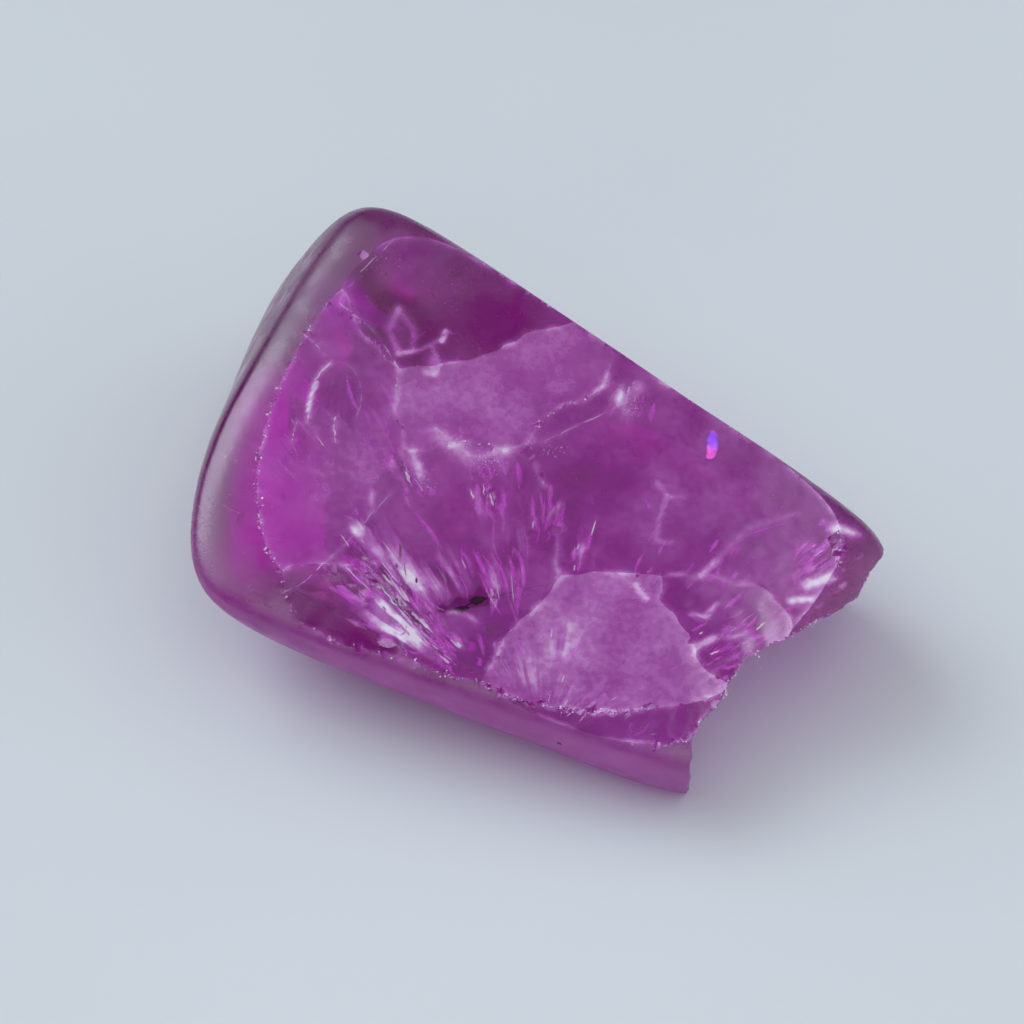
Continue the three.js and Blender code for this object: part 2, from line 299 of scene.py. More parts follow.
# Pale frosted figures, some of them painted glints and sheen: the points that each passes, seen from above,
# how strong it is, and its width.
FIGURES = {
    "diamond, left": (((-8.7, 4.4), (-9.7, 5.2), (-9.8, 6.4)), 0.34, 0.19),
    "diamond, right": (((-9.8, 6.4), (-8.6, 5.9), (-8.2, 4.9), (-8.7, 4.4)), 0.30, 0.17),
    "diamond, body": (((-9.5, 5.9), (-9.0, 5.2), (-8.8, 4.7)), 0.12, 0.50),
    "stem": (((-8.5, 4.6), (-7.9, 5.2), (-7.3, 6.2)), 0.34, 0.13),
    "drop": (((-7.4, 5.6), (-6.8, 5.1), (-6.7, 4.5), (-7.2, 4.3)), 0.40, 0.14),
    "drop, body": (((-7.2, 5.1), (-7.0, 4.6)), 0.34, 0.28),
    # painted glint
    "glint": (((-7.3, 6.7), (-7.2, 6.2)), 0.90, 0.14),
    "twig": (((5.4, 5.0), (6.2, 4.6), (6.3, 3.5), (6.7, 2.3), (7.4, 2.5)), 0.22, 0.13),
    "twig's fork": (((6.2, 4.6), (6.9, 4.9)), 0.20, 0.10),
    # painted glint
    "penny, painted glint": (((-11.35, 0.9), (-11.3, 0.2), (-11.05, -0.6)), 0.70, 0.09),
    "arc": (((9.6, 1.6), (10.0, 3.0), (10.5, 4.6), (11.4, 5.4), (12.4, 6.2)), 0.18, 0.18),
    "arc's foot": (((9.5, 1.5), (9.9, 2.5)), 0.30, 0.20),
    "curl": (((4.0, -3.9), (4.2, -4.8), (4.9, -5.3), (5.6, -5.0), (5.6, -4.0), (5.1, -3.5)), 0.20, 0.24),
    "ridge, veil": (((-5.3, 2.0), (-4.2, 1.7), (-2.9, 2.0), (-2.0, 2.8)), 0.25, 0.50),
    "patch": (((-5.7, 0.1), (-5.0, -0.5)), 0.16, 0.45),
    "near white": (((-3.3, -7.4), (-2.4, -8.0), (-1.4, -8.1)), 0.36, 0.50),
    "ridge's end": (((1.9, 7.8), (2.4, 8.8)), 0.35, 0.35),
    # painted sheen: the two broad faint figures
    "left face, painted sheen": (((-7.6, 2.4), (-7.3, 0.2), (-7.9, -2.4), (-8.3, -4.6)), 0.09, 1.50),
    "middle, painted sheen": (((-5.6, 5.2), (-3.2, 5.0), (-2.2, 6.4)), 0.08, 1.60),
    # painted glints: the speck figures, bright spots over the specks of the break and the tip
    "speck, large": (((11.2, -1.7), (11.6, -1.1)), 0.70, 0.20),
    "speck, left": (((10.0, -0.4), (10.8, -0.2)), 0.50, 0.13),
    "speck, upper": (((10.7, 0.0), (10.9, 0.6)), 0.50, 0.11),
    "speck, right": (((12.2, -0.8), (12.8, -0.4)), 0.40, 0.18),
    "speck, ridge": (((6.9, -0.2), (7.7, -0.6)), 0.50, 0.14),
    "speck, tip": (((14.5, 6.1), (15.3, 6.3)), 0.90, 0.30),
    "speck, tip, below": (((14.6, 3.0), (15.4, 3.6)), 0.75, 0.30),
    "speck, break": (((14.2, 1.9), (15.0, 2.3)), 0.75, 0.22),
    "clear, needle": (((-0.6, -5.9), (0.2, -5.0), (0.9, -4.1)), -0.40, 0.45),
}

SPECKS = 700  # tiny bright plates anywhere under the top
SMALL_CRACKS = 60  # little cracks anywhere inside
SMALL_GAP = 0.03  # the gap of the little cracks and of the rainbow flake
SMALL_GRID = 7  # the little cracks' grid points, across
SPLINTER_SPREAD = 0.6  # how far feathers and splinters scatter, as a share of a splintered place's spread


# ---------------------------------------------------------------- numbers and noise


def unit(vector):
    vector = np.asarray(vector, float)
    return vector / np.linalg.norm(vector)


def unit_rows(vectors):
    """Each row of an array, or of its last axis, at length 1."""
    return vectors / np.linalg.norm(vectors, axis=-1, keepdims=True)


def direction(azimuth, elevation):
    """The unit direction that an azimuth and an elevation in degrees give."""
    a, e = math.radians(azimuth), math.radians(elevation)
    return np.array([math.cos(e) * math.cos(a), math.cos(e) * math.sin(a), math.sin(e)])


def square_axes(out, along=(1, 0, 0)):
    """Two unit directions square to out and to each other, the first as near to along as can be."""
    first = unit(np.asarray(along) - out * (out @ along))
    return first, np.cross(out, first)


def lattice(cells, seed):
    """A repeatable number from -1 to 1 for each whole-number cell."""
    x, y, z = (cells[..., k].astype(np.uint32) for k in range(3))
    mixed = x * np.uint32(374761393) + y * np.uint32(668265263) + z * np.uint32(2246822519)
    mixed = mixed + np.uint32(seed * 144269 + 1)
    mixed = (mixed ^ (mixed >> np.uint32(13))) * np.uint32(1274126177)
    mixed = mixed ^ (mixed >> np.uint32(16))
    return (mixed & np.uint32(0xFFFF)) / 32767.5 - 1


def noise(points, seed=0):
    """Smooth noise from -1 to 1, whose bumps are about one unit wide."""
    cell = np.floor(points).astype(np.int64)
    part = points - cell
    blend = part**3 * (part * (part * 6 - 15) + 10)
    total = np.zeros(points.shape[:-1])
    for corner in np.ndindex(2, 2, 2):
        weight = np.prod(np.where(corner, blend, 1 - blend), axis=-1)
        total += weight * lattice(cell + np.array(corner), seed)
    return total


def rough_noise(points, size, octaves=3, seed=0):
    """Noise with finer and finer bumps on it, the widest of a given size in mm."""
    total = np.zeros(points.shape[:-1])
    for k in range(octaves):
        total += noise(points / size * 2**k, seed + k) / 2**k
    return total


# ---------------------------------------------------------------- the shape, as formulas

SKIN_OUT = np.array([direction(azimuth, elevation) for azimuth, elevation, _ in SKIN_FACES.values()])
SKIN_DISTANCE = np.array([distance for _, _, distance in SKIN_FACES.values()])


def skin_gauge(points):
    """Below 1 inside the unbroken stone, and 1 on its skin."""
    shares = np.maximum(0, (points - CORE) @ SKIN_OUT.T / SKIN_DISTANCE)
    return (shares**ROUNDING).sum(-1) ** (1 / ROUNDING)


def on_skin(out):
    """Where the skin lies, going out from the core along unit directions."""
    return CORE + out / skin_gauge(CORE + out)[..., None]


def skin_normal(out):
    """The way that the skin looks there, for one direction."""
    shares = np.maximum(0, out @ SKIN_OUT.T / SKIN_DISTANCE) ** (ROUNDING - 1)
    return unit((shares / SKIN_DISTANCE) @ SKIN_OUT)


def chip_bowl(azimuth, elevation, depth, radius):
    """An old chip, as a bowl."""
    out = direction(azimuth, elevation)
    normal = skin_normal(out)
    return on_skin(out) - depth * normal, normal, radius


def all_bowls():
    """Each bowl's lowest point, the way it looks, and its radius."""
    bowls = {
        name: (np.array(at), direction(azimuth, elevation), radius)
        for name, (at, azimuth, elevation, radius) in BOWLS.items()
    }
    for name, numbers in CHIPS.items():
        bowls["chip, " + name] = chip_bowl(*numbers)
    return bowls


def break_axes():
    """The way that the break runs, and the ways across and up its outline."""
    along = direction(BREAK_AZIMUTH, BREAK_ELEVATION)
    across = unit(np.cross((0, 0, 1), along))
    return along, across, np.cross(along, across)


def past_break(points):
    """How far points are past the break, along BREAK_SHIFT."""
    _, across, up = break_axes()
    seen = np.stack([points @ across, points @ up], -1)
    outline = np.array(BREAK_OUTLINE)[::-1]
    edge = np.interp(seen @ BREAK_LEVEL, outline @ BREAK_LEVEL, outline @ BREAK_SHIFT)
    return seen @ BREAK_SHIFT - edge


UNEVEN_SIZE = 5.0  # the width of a fracture's broadest unevenness


def relief(points, out, numbers, seed):
    """How far a fracture face stands out from its plain bowl."""
    height = numbers["uneven"] * rough_noise(points, UNEVEN_SIZE, 5, seed)
    if "ripple" in numbers:
        start, spacing, depth = numbers["ripple"]
        way = np.linalg.norm(points - start, axis=-1) + 0.5 * noise(points / 3, seed + 11)
        height += depth * np.sin(way * 2 * math.pi / spacing) * (0.5 + 0.5 * noise(points / 4, seed + 12))
    if "hackle" in numbers:
        height += numbers["hackle"] * hackles(points, out, seed)
    return height


HACKLE_ANGLE = 0.085  # between two hackles, in radians
HACKLE_LENGTH = 5.5


def hackles(points, out, seed):
    """Long narrow steps, from about -0.4 to 0.6 high, that run out from where the fracture began."""
    way = points - FRACTURE_START
    first, second = square_axes(out)
    angle = np.arctan2(way @ second, way @ first) + 0.04 * noise(points / 2.5, seed + 21)
    far = np.linalg.norm(way, axis=-1)
    place = np.stack([angle / HACKLE_ANGLE, far / HACKLE_LENGTH, np.zeros(len(points))], -1)
    wide = 1 - np.abs(noise(place, seed + 22))
    fine = 1 - np.abs(noise(place * (2.1, 1.5, 1), seed + 23))
    strength = np.clip(0.45 + 0.9 * noise(points / 3.0, seed + 24), 0, 1)
    return strength * (0.6 * wide**4 + 0.4 * fine**4 - 0.4)


# ---------------------------------------------------------------- meshes


def read(items, name, width=1, kind=float):
    """One value of every item of a mesh, as an array."""
    values = np.zeros(len(items) * width, kind)
    items.foreach_get(name, values)
    return values.reshape(-1, width) if width > 1 else values


def mark(mesh, name, kind, domain, values):
    """Gives every item of a mesh its own value under a name."""
    made = mesh.attributes.new(name, kind, domain)
    made.data.foreach_set("vector" if kind == "FLOAT_VECTOR" else "value", values.ravel())


def linked(name, data):
    """A new object in the scene."""
    made = bpy.data.objects.new(name, data)
    bpy.context.collection.objects.link(made)
    return made


def new_object(name, vertices, faces, source=0):
    """A mesh object whose every face remembers which surface of the stone it came from."""
    mesh = bpy.data.meshes.new(name)
    mesh.from_pydata(np.asarray(vertices, float), [], np.asarray(faces))
    mesh.update()
    mark(mesh, "source", "INT", "FACE", np.full(len(mesh.polygons), source, np.int32))
    return linked(name, mesh)


def taken_out(edit):
    """The vertices and faces of a mesh that was being edited, which is then freed."""
    vertices = np.array([v.co for v in edit.verts])
    faces = np.array([[v.index for v in f.verts] for f in edit.faces])
    edit.free()
    return vertices, faces


def icosphere(divisions):
    """Vertices and triangles of a sphere of radius 1."""
    ball = bmesh.new()
    bmesh.ops.create_icosphere(ball, subdivisions=divisions, radius=1)
    return taken_out(ball)


def grid_faces(rows, columns, first=0):
    """Two triangles for each cell of a grid whose vertices are numbered row by row."""
    row, column = np.meshgrid(np.arange(rows - 1), np.arange(columns - 1), indexing="ij")
    a = (first + row * columns + column).ravel()
    b, c, d = a + 1, a + columns + 1, a + columns
    return np.concatenate([np.stack([a, d, c], 1), np.stack([a, c, b], 1)])


def band_faces(inner, outer):
    """Two triangles for each step round two loops of vertices."""
    inner_next, outer_next = np.roll(inner, -1), np.roll(outer, -1)
    return np.concatenate([
        np.stack([inner, outer, outer_next], 1),
        np.stack([inner, outer_next, inner_next], 1),
    ])


def fan_faces(loop, tip):
    """A triangle from each step round a loop of vertices to one tip."""
    return np.stack([loop, np.full(len(loop), tip), np.roll(loop, -1)], 1)


def round_grid(count):
    """A square grid pressed into a circle of radius 1, and its border in order."""
    steps = np.linspace(-1, 1, count)
    u, v = np.meshgrid(steps, steps, indexing="ij")
    plan = np.stack([u * np.sqrt(1 - v * v / 2), v * np.sqrt(1 - u * u / 2)], -1).reshape(-1, 2)
    return plan, grid_border(count, count)


def grid_border(rows, columns):
    """The vertices round the border of a grid, in order."""
    numbers = np.arange(rows * columns).reshape(rows, columns)
    return np.concatenate([numbers[:-1, 0], numbers[-1, :-1], numbers[:0:-1, -1], numbers[0, :0:-1]])


def facing_out(made):
    """Turns every face of a closed mesh to look out of it."""
    mesh = made.data
    edit = bmesh.new()
    edit.from_mesh(mesh)
    if edit.calc_volume(signed=True) < 0:
        bmesh.ops.reverse_faces(edit, faces=edit.faces)
    edit.to_mesh(mesh)
    edit.free()
    return made


def cut(stone, cutter):
    """Takes a closed mesh away from the stone, and removes it."""
    step = stone.modifiers.new("cut", "BOOLEAN")
    step.operation = "DIFFERENCE"
    step.solver = "MANIFOLD"
    step.object = cutter
    evaluated = stone.evaluated_get(bpy.context.evaluated_depsgraph_get())
    mesh = bpy.data.meshes.new_from_object(evaluated)
    stone.modifiers.clear()
    before = stone.data
    stone.data = mesh
    bpy.data.meshes.remove(before)
    discard(cutter)


def discard(made):
    """Removes an object and its mesh."""
    mesh = made.data
    bpy.data.objects.remove(made)
    bpy.data.meshes.remove(mesh)


# ---------------------------------------------------------------- the skin and what broke it

SKIN_DIVISIONS = 7
SKIN_UNEVEN = 0.035
FINE = 0.16  # the spacing of a fracture face's grid
FINE_HIDDEN = 0.20  # where it looks down or aside
FINE_END = 0.15  # on the slanting break
END_LEVELS = (-13, 12)  # how far the break's grid reaches, along its outline and along its sweep
END_SWEEP = (-19, 19)
HIDDEN_BELOW = 0.3  # a bowl counts as hidden if it looks up less than this
LOOK_STEPS = 121  # how finely a bowl is looked over for what shows
NEARLY = 0.98  # of a plug's reach, as far as its fine part may go
SHOWN_MARGIN = 0.4  # how far the fine part goes past what shows
SKIRT_STEPS = 8  # from the fine part out to the plug's rim
SKIN, BASE, END, FLAKED, PITTED, CRACKED = range(6)  # sources of the faces; the bowls' come after
FIRST_BOWL = 6
BOWL_LIST = all_bowls()


def unbroken_stone():
    """The whole weathered skin, a little uneven."""
    vertices, faces = icosphere(SKIN_DIVISIONS)
    points = on_skin(vertices)
    points += SKIN_UNEVEN * rough_noise(points, 4.5, 3, 50)[:, None] * vertices
    return facing_out(new_object(STONE + "_fine", points, faces, SKIN))


def exposed(points, but):
    """Which points of one bowl are left showing on the finished stone."""
    seen = (skin_gauge(points) < 1) & (points[..., 2] > FLAT_HEIGHT) & (past_break(points) < 0)
    for name, (at, out, radius) in BOWL_LIST.items():
        if name != but:
            seen &= np.linalg.norm(points - at - out * radius, axis=-1) > radius
    return seen


def bowl_height(plan, radius, reach):
    """How far a bowl has risen from its lowest point, at points of its plan."""
    across = np.minimum(np.linalg.norm(plan, axis=-1), reach)
    return radius - np.sqrt(radius**2 - across**2)


def shown_part(plain, name, reach):
    """The middle and the radius, in a bowl's own plan, of the part of it that shows on the stone."""
    steps = np.linspace(-reach, reach, LOOK_STEPS)
    look = np.stack(np.meshgrid(steps, steps), -1).reshape(-1, 2)
    look = look[np.linalg.norm(look, axis=1) < reach * NEARLY]
    used = look[exposed(plain(look), name)]
    middle = (used.min(0) + used.max(0)) / 2
    size = np.linalg.norm(used - middle, axis=1).max() + SHOWN_MARGIN
    return middle, min(size, reach * NEARLY - np.linalg.norm(middle))


def skirt(rim, middle, reach):
    """Rings of points that go out evenly from a rim round a middle to a circle of radius reach."""
    outward = unit_rows(rim - middle)
    along = (rim * outward).sum(1)
    rest = np.sqrt(along**2 + reach**2 - (rim**2).sum(1)) - along
    return [rim + outward * (rest * k / SKIRT_STEPS)[:, None] for k in range(1, SKIRT_STEPS + 1)]


def bowl_cutter(name, number):
    """A round-bottomed plug, finely divided where it shapes the stone."""
    at, out, radius = BOWL_LIST[name]
    numbers = RELIEF.get(name, PLAIN)
    reach = min(PLUG_REACH, radius * PLUG_SHARE)

    def plain(plan):
        return at + plan @ np.array(square_axes(out)) + bowl_height(plan, radius, reach)[:, None] * out

    middle, size = shown_part(plain, name, reach)
    spacing = numbers.get("grid", FINE_HIDDEN if out[2] < HIDDEN_BELOW else FINE)
    count = int(2 * size / spacing) | 1
    plan, border = round_grid(count)
    plan = middle + plan * size
    rings = skirt(plan[border], middle, reach)
    loops = [border] + [len(plan) + k * len(border) + np.arange(len(border)) for k in range(len(rings))]
    points = plain(np.concatenate([plan] + rings))
    points += relief(points, out, numbers, number * 31)[:, None] * out
    tip = at + out * (bowl_height(np.array([[reach, 0]]), radius, reach)[0] + PLUG_HEIGHT)
    faces = [grid_faces(count, count)]
    faces += [band_faces(a, b) for a, b in zip(loops, loops[1:])]
    faces.append(fan_faces(loops[-1], len(points)))
    made = new_object(name, np.vstack([points, tip]), np.concatenate(faces), number)
    return facing_out(made)


def base_cutter():
    """A block that cuts the flat underside."""
    edit = bmesh.new()
    below = Matrix.Translation((0, 0, FLAT_HEIGHT - BEYOND / 2))
    bmesh.ops.create_cube(edit, size=BEYOND, matrix=below)
    bmesh.ops.triangulate(edit, faces=edit.faces)
    return facing_out(new_object("base", *taken_out(edit), BASE))


def crags(points):
    """How far the slanting break stands out from its plain sweep."""
    height = 0.20 * rough_noise(points, 2.6, 3, 77)
    height += 0.16 * (0.5 - np.abs(noise(points / 1.1, 81)))
    return height + 0.09 * (0.5 - np.abs(noise(points / 0.5, 82)))


def end_cutter():
    """The slanting break: its outline swept along its direction, rough on the side that stays."""
    along, across, up = break_axes()
    outline = np.array(BREAK_OUTLINE)
    levels = np.arange(*END_LEVELS, FINE_END)
    edge = np.interp(levels, (outline @ BREAK_LEVEL)[::-1], (outline @ BREAK_SHIFT)[::-1])
    seen = edge[:, None] * BREAK_SHIFT + levels[:, None] * BREAK_LEVEL
    sweep = np.arange(*END_SWEEP, FINE_END)
    line = seen @ np.array([across, up])
    points = (line[:, None, :] + sweep[None, :, None] * along).reshape(-1, 3)
    out = BREAK_SHIFT @ np.array([across, up])
    points += crags(points)[:, None] * out
    border = grid_border(len(levels), len(sweep))
    lid = len(points) + np.arange(len(border))
    far = points[border] + out * BEYOND
    faces = [
        grid_faces(len(levels), len(sweep)),
        band_faces(border, lid),
        fan_faces(lid, len(points) + len(border)),
    ]
    made = new_object("end", np.vstack([points, far, far.mean(0)]), np.concatenate(faces), END)
    return facing_out(made)


def broken_stone():
    """The skin with the break, the bowls, the chips and the flat underside cut out of it."""
    stone = unbroken_stone()
    cut(stone, end_cutter())
    for number, name in enumerate(BOWL_LIST, FIRST_BOWL):
        cut(stone, bowl_cutter(name, number))
    cut(stone, base_cutter())
    return stone


# ---------------------------------------------------------------- the faces and edges of the stone


def face_sources(mesh):
    """Which surface of the stone each face came from."""
    return read(mesh.attributes["source"].data, "value", kind=np.int32)


def corner_positions(mesh):
    return read(mesh.vertices, "co", 3)


def face_normals(mesh):
    return read(mesh.polygons, "normal", 3)


def for_each_corner(mesh, values):
    """The value of each face, once for each of its corners."""
    return np.repeat(values, read(mesh.polygons, "loop_total", kind=np.int32))


def edge_faces(mesh):
    """The two faces on each edge of a closed mesh."""
    faces = for_each_corner(mesh, np.arange(len(mesh.polygons)))
    order = np.argsort(read(mesh.loops, "edge_index", kind=np.int32), kind="stable")
    return faces[order].reshape(-1, 2)


def edges_met(mesh, pairs):
    """Whether two different surfaces of the stone meet at each edge."""
    sources = face_sources(mesh)[pairs]
    return sources[:, 0] != sources[:, 1]


def rim(mesh):
    """The middle of each edge where two surfaces meet, the way out there, and a search tree of them."""
    pairs = edge_faces(mesh)
    met = edges_met(mesh, pairs)
    ends = read(mesh.edges, "vertices", 2, np.int32)
    middles = corner_positions(mesh)[ends[met]].mean(1)
    normals = face_normals(mesh)
    tree = KDTree(len(middles))
    for i, point in enumerate(middles):
        tree.insert(point, i)
    tree.balance()
    return middles, unit_rows(normals[pairs[met, 0]] + normals[pairs[met, 1]] + 1e-9), tree


# ---------------------------------------------------------------- small closed shapes


def closed(vertices, faces):
    """A closed shape with its faces looking out, as its vertices and triangles."""
    corners = vertices[faces]
    volume = np.einsum("ij,ij->i", corners[:, 0], np.cross(corners[:, 1], corners[:, 2])).sum()
    return (vertices, faces) if volume > 0 else (vertices, faces[:, ::-1])


def joined(shapes):
    """Many closed shapes as one set of vertices and triangles."""
    first = np.cumsum([0] + [len(vertices) for vertices, _ in shapes])
    vertices = np.concatenate([vertices for vertices, _ in shapes])
    return vertices, np.concatenate([faces + start for (_, faces), start in zip(shapes, first)])


def mostly_small(draws, least, more, power=3):
    """A random number between least and more than that, mostly near the least."""
    return least + more * draws.random() ** power


def any_turn(draws):
    """A random rotation."""
    return np.array(Quaternion(unit(draws.normal(size=4))).to_matrix())


LENS_BEND = 0.015  # how far a crack is bent, as a share of its length


def lens(middle, out, along, length, width, gap, seed, grid=13):
    """The thin gap of a crack: a lens with a ragged rim, bent a little, with grid points across it."""
    plan, border = round_grid(grid)
    round_way = unit_rows(plan + 1e-9)
    inside = 1 - np.minimum(np.linalg.norm(plan, axis=1), 1)
    ragged = 1 + 0.30 * noise(np.column_stack([round_way * 1.6, np.full(len(plan), seed * 1.7)]), 5)
    side, up = square_axes(out, unit(along))
    sheet = middle + (plan * ragged[:, None] * (length / 2, width / 2)) @ np.array([side, up])
    sheet = sheet + (LENS_BEND * length * rough_noise(sheet, length / 2, 3, seed))[:, None] * out
    half = gap / 2 * np.minimum(inside * 4, 1)[:, None] * out
    half[border] = 0
    above = grid_faces(grid, grid)
    lower = np.arange(len(plan))
    inner = np.setdiff1d(lower, border)
    lower[inner] = len(plan) + np.arange(len(inner))
    below = lower[above][:, ::-1]
    return closed(np.vstack([sheet + half, (sheet - half)[inner]]), np.vstack([above, below]))


def tube(path, radii, sides=8, steps=5, across=(0.3, 0.5, 0.8), flatness=1.0):
    """A closed tube along a smooth curve through the points of a path, with its radius at each point.

    Its section is as wide as its radius along across, and flatness times that the other way."""
    line = smooth_line(np.asarray(path, float), steps)
    thick = np.interp(np.linspace(0, 1, len(line)), np.linspace(0, 1, len(radii)), radii)
    ways = unit_rows(np.gradient(line, axis=0))
    rings = []
    side = across
    turn = np.arange(sides) * 2 * math.pi / sides
    for point, way, radius in zip(line, ways, thick):
        side, up = square_axes(way, side)
        section = np.cos(turn)[:, None] * side + flatness * np.sin(turn)[:, None] * up
        rings.append(point + radius * section)
    loops = np.arange(len(line) * sides).reshape(-1, sides)
    faces = [band_faces(a, b) for a, b in zip(loops, loops[1:])]
    count = loops.size
    faces += [fan_faces(loops[0], count)[:, ::-1], fan_faces(loops[-1], count + 1)]
    ends = [line[0] - ways[0] * thick[0] * 0.6, line[-1] + ways[-1] * thick[-1] * 0.6]
    return closed(np.vstack(rings + [ends]), np.concatenate(faces))


def smooth_line(path, steps):
    """A Catmull-Rom curve through the points of a path."""
    padded = np.vstack([2 * path[0] - path[1], path, 2 * path[-1] - path[-2]])
    points = []
    for a, b, c, d in zip(padded, padded[1:], padded[2:], padded[3:]):
        for t in np.arange(steps) / steps:
            points.append(0.5 * (2 * b + (c - a) * t + (2 * a - 5 * b + 4 * c - d) * t**2
                                 + (3 * b - a - 3 * c + d) * t**3))
    return np.array(points + [path[-1]])


def blob(middle, radii, turn, seed, divisions=2, rough=0.12):
    """An uneven ellipsoid."""
    vertices, faces = icosphere(divisions)
    vertices = vertices * (1 + rough * noise(vertices * 1.7 + seed * 3.1, seed)[:, None])
    return closed(middle + (vertices * radii) @ turn.T, faces)


# ---------------------------------------------------------------- flakes, pits, cracks and hollows


def cut_all(stone, shapes, source):
    """Takes closed shapes away from the stone, in rounds whose shapes don't touch each other."""
    middles = np.array([(v.min(0) + v.max(0)) / 2 for v, _ in shapes])
    reaches = np.array([np.linalg.norm(v - m, axis=1).max() for (v, _), m in zip(shapes, middles)])
    left = list(range(len(shapes)))
    while left:
        taken = []
        for i in left:
            apart = np.linalg.norm(middles[taken] - middles[i], axis=1) if taken else np.array([])
            if (apart > reaches[taken] + reaches[i]).all():
                taken.append(i)
        left = sorted(set(left) - set(taken))
        cut(stone, new_object("cutters", *joined([shapes[i] for i in taken]), source))


def shard(radii, turn, draws):
    """An angular lump: a block with every corner pushed out of place."""
    corners = np.array(list(np.ndindex(2, 2, 2))) * 2 - 1
    sides = [(0, 1, 3, 2), (4, 6, 7, 5), (0, 4, 5, 1), (2, 3, 7, 6), (0, 2, 6, 4), (1, 5, 7, 3)]
    faces = np.array([(a, b, c) for a, b, c, _ in sides] + [(a, c, d) for a, _, c, d in sides])
    vertices = (corners * (1 + draws.uniform(-0.35, 0.35, corners.shape)) * radii) @ turn.T
    return closed(vertices, faces)


def flake(place, out, size, draws):
    """An angular lump that bites a shallow flake, about as wide as size, out of the surface."""
    way = unit(out + draws.normal(size=3) * 0.5)
    vertices, faces = shard(size * draws.uniform(0.5, 1.3, 3), any_turn(draws), draws)
    depth = size * draws.uniform(0.15, 0.5)
    return vertices + place - way * (depth + (vertices @ way).min()), faces


def crushed_places(edges, name, count, draws):
    """Places on the stone's edges along one crushed stretch, in clusters, and the way out at each."""
    begin, end = (np.array(point) for point in CRUSHED[name][:2])
    middles, outs, tree = edges
    found = []
    while len(found) < count:
        share = draws.random()
        if draws.random() < 0.5 + 0.5 * noise(np.array([[share * 9, 0.5, len(name)]]), 9)[0]:
            near = begin + (end - begin) * share + draws.normal(size=3) * 0.15
            found.append(tree.find(near)[1])
    return middles[found], outs[found]


def flake_edges(stone):
    """Takes flakes off the crushed edges, and small ones off the edges anywhere."""
    draws = np.random.default_rng(7)
    edges = rim(stone.data)
    shapes = []
    for name, (_, _, count, small, large, _) in CRUSHED.items():
        places, outs = crushed_places(edges, name, count, draws)
        sizes = small + (large - small) * draws.random(count) ** 2
        shapes += [flake(place, out, size, draws) for place, out, size in zip(places, outs, sizes)]
    middles, outs, _ = edges
    for i in draws.integers(len(middles), size=STRAY_FLAKES):
        shapes.append(flake(middles[i], outs[i], mostly_small(draws, *STRAY_SIZE), draws))
    cut_all(stone, shapes, FLAKED)


def pit_skin(stone):
    """Knocks pits in the worn skin."""
    draws = np.random.default_rng(11)
    ways = unit_rows(draws.normal(size=(PITS, 3)))
    shapes = [flake(on_skin(way), skin_normal(way), mostly_small(draws, *PIT_SIZE), draws) for way in ways]
    cut_all(stone, shapes, PITTED)


def small_cracks(surface):
    """Little cracks at random depths under the top, lying within about 45 degrees of level."""
    draws = np.random.default_rng(37)
    shapes = []
    while len(shapes) < SMALL_CRACKS:
        place = under_top(surface, draws, mostly_small(draws, *CRACK_DEPTH))
        if place is not None:
            out = unit(np.array([0, -0.25, 1]) + draws.normal(size=3) * 0.35)
            length = mostly_small(draws, *CRACK_LENGTH)
            size = (length, length * draws.uniform(0.3, 0.8), SMALL_GAP)
            shapes.append(lens(place, out, draws.normal(size=3), *size, len(shapes) + 50, SMALL_GRID))
    return shapes


def drop(surface, x, y):
    """Where a line straight down meets the stone's top, and how the top looks there, or two nothings."""
    return surface.ray_cast(Vector((x, y, BEYOND)), Vector((0, 0, -1)))[:2]


STONE_X, STONE_Y = (-17, 16), (-11, 13)  # where the stone lies, seen from above


def under_top(surface, draws, depth):
    """A random place at a depth under the stone's top, or nothing where the stone isn't that thick."""
    x, y = draws.uniform(*STONE_X), draws.uniform(*STONE_Y)
    top = drop(surface, x, y)[0]
    if top is None:
        return None
    place = np.array(top) - (0, 0, depth)
    room = surface.find_nearest(Vector(place))[3]
    return place if room > min(depth * 0.8, 0.6) and place[2] > FLAT_HEIGHT + 0.5 else None


def inside(way, normal):
    """Which way light that comes from somewhere outside has come, once it is inside the stone."""
    level = (way - (way @ normal) * normal) / REFRACTION
    return level + math.sqrt(1 - level @ level) * normal


def glinting(normal):
    """The way that a crack under a surface looks if it shows the window to someone in front."""
    window = direction(WINDOW_AZIMUTH, WINDOW_ELEVATION)
    front = direction(CAMERA_AZIMUTH, CAMERA_ELEVATION)
    return unit(inside(window, normal) + inside(front, normal))


ROUND_ABOUT = np.array([(0, 0), (0.4, 0), (-0.4, 0), (0, 0.4), (0, -0.4)])  # from a place


def smooth_normal(surface, place):
    """The way that the stone's surface looks on the whole, round a place seen from above."""
    total = np.zeros(3)
    for x, y in ROUND_ABOUT + place[:2]:
        total += drop(surface, x, y)[1] or (0, 0, 0.001)
    return unit(total)


FEATHER_GAP = 0.05
FEATHER_BEND = 0.35


def feather(place, normal, length, width, draws):
    """A thin curved crack just under the surface, which catches the window."""
    out = unit(glinting(normal) + draws.normal(size=3) * 0.03)
    fan = place - FRACTURE_START + draws.normal(size=3) * 1.5
    along, side = square_axes(out, fan)
    steps = np.linspace(-0.5, 0.5, 5)[:, None]
    line = place - (0, 0, mostly_small(draws, *FEATHER_DEPTH)) + steps * length * along
    line += side * (0.25 - steps**2) * length * draws.normal() * FEATHER_BEND
    radii = np.array((0.15, *draws.uniform(0.5, 1, 3), 0.1)) * width / 2
    return tube(line, radii, 6, 2, side, FEATHER_GAP / width)


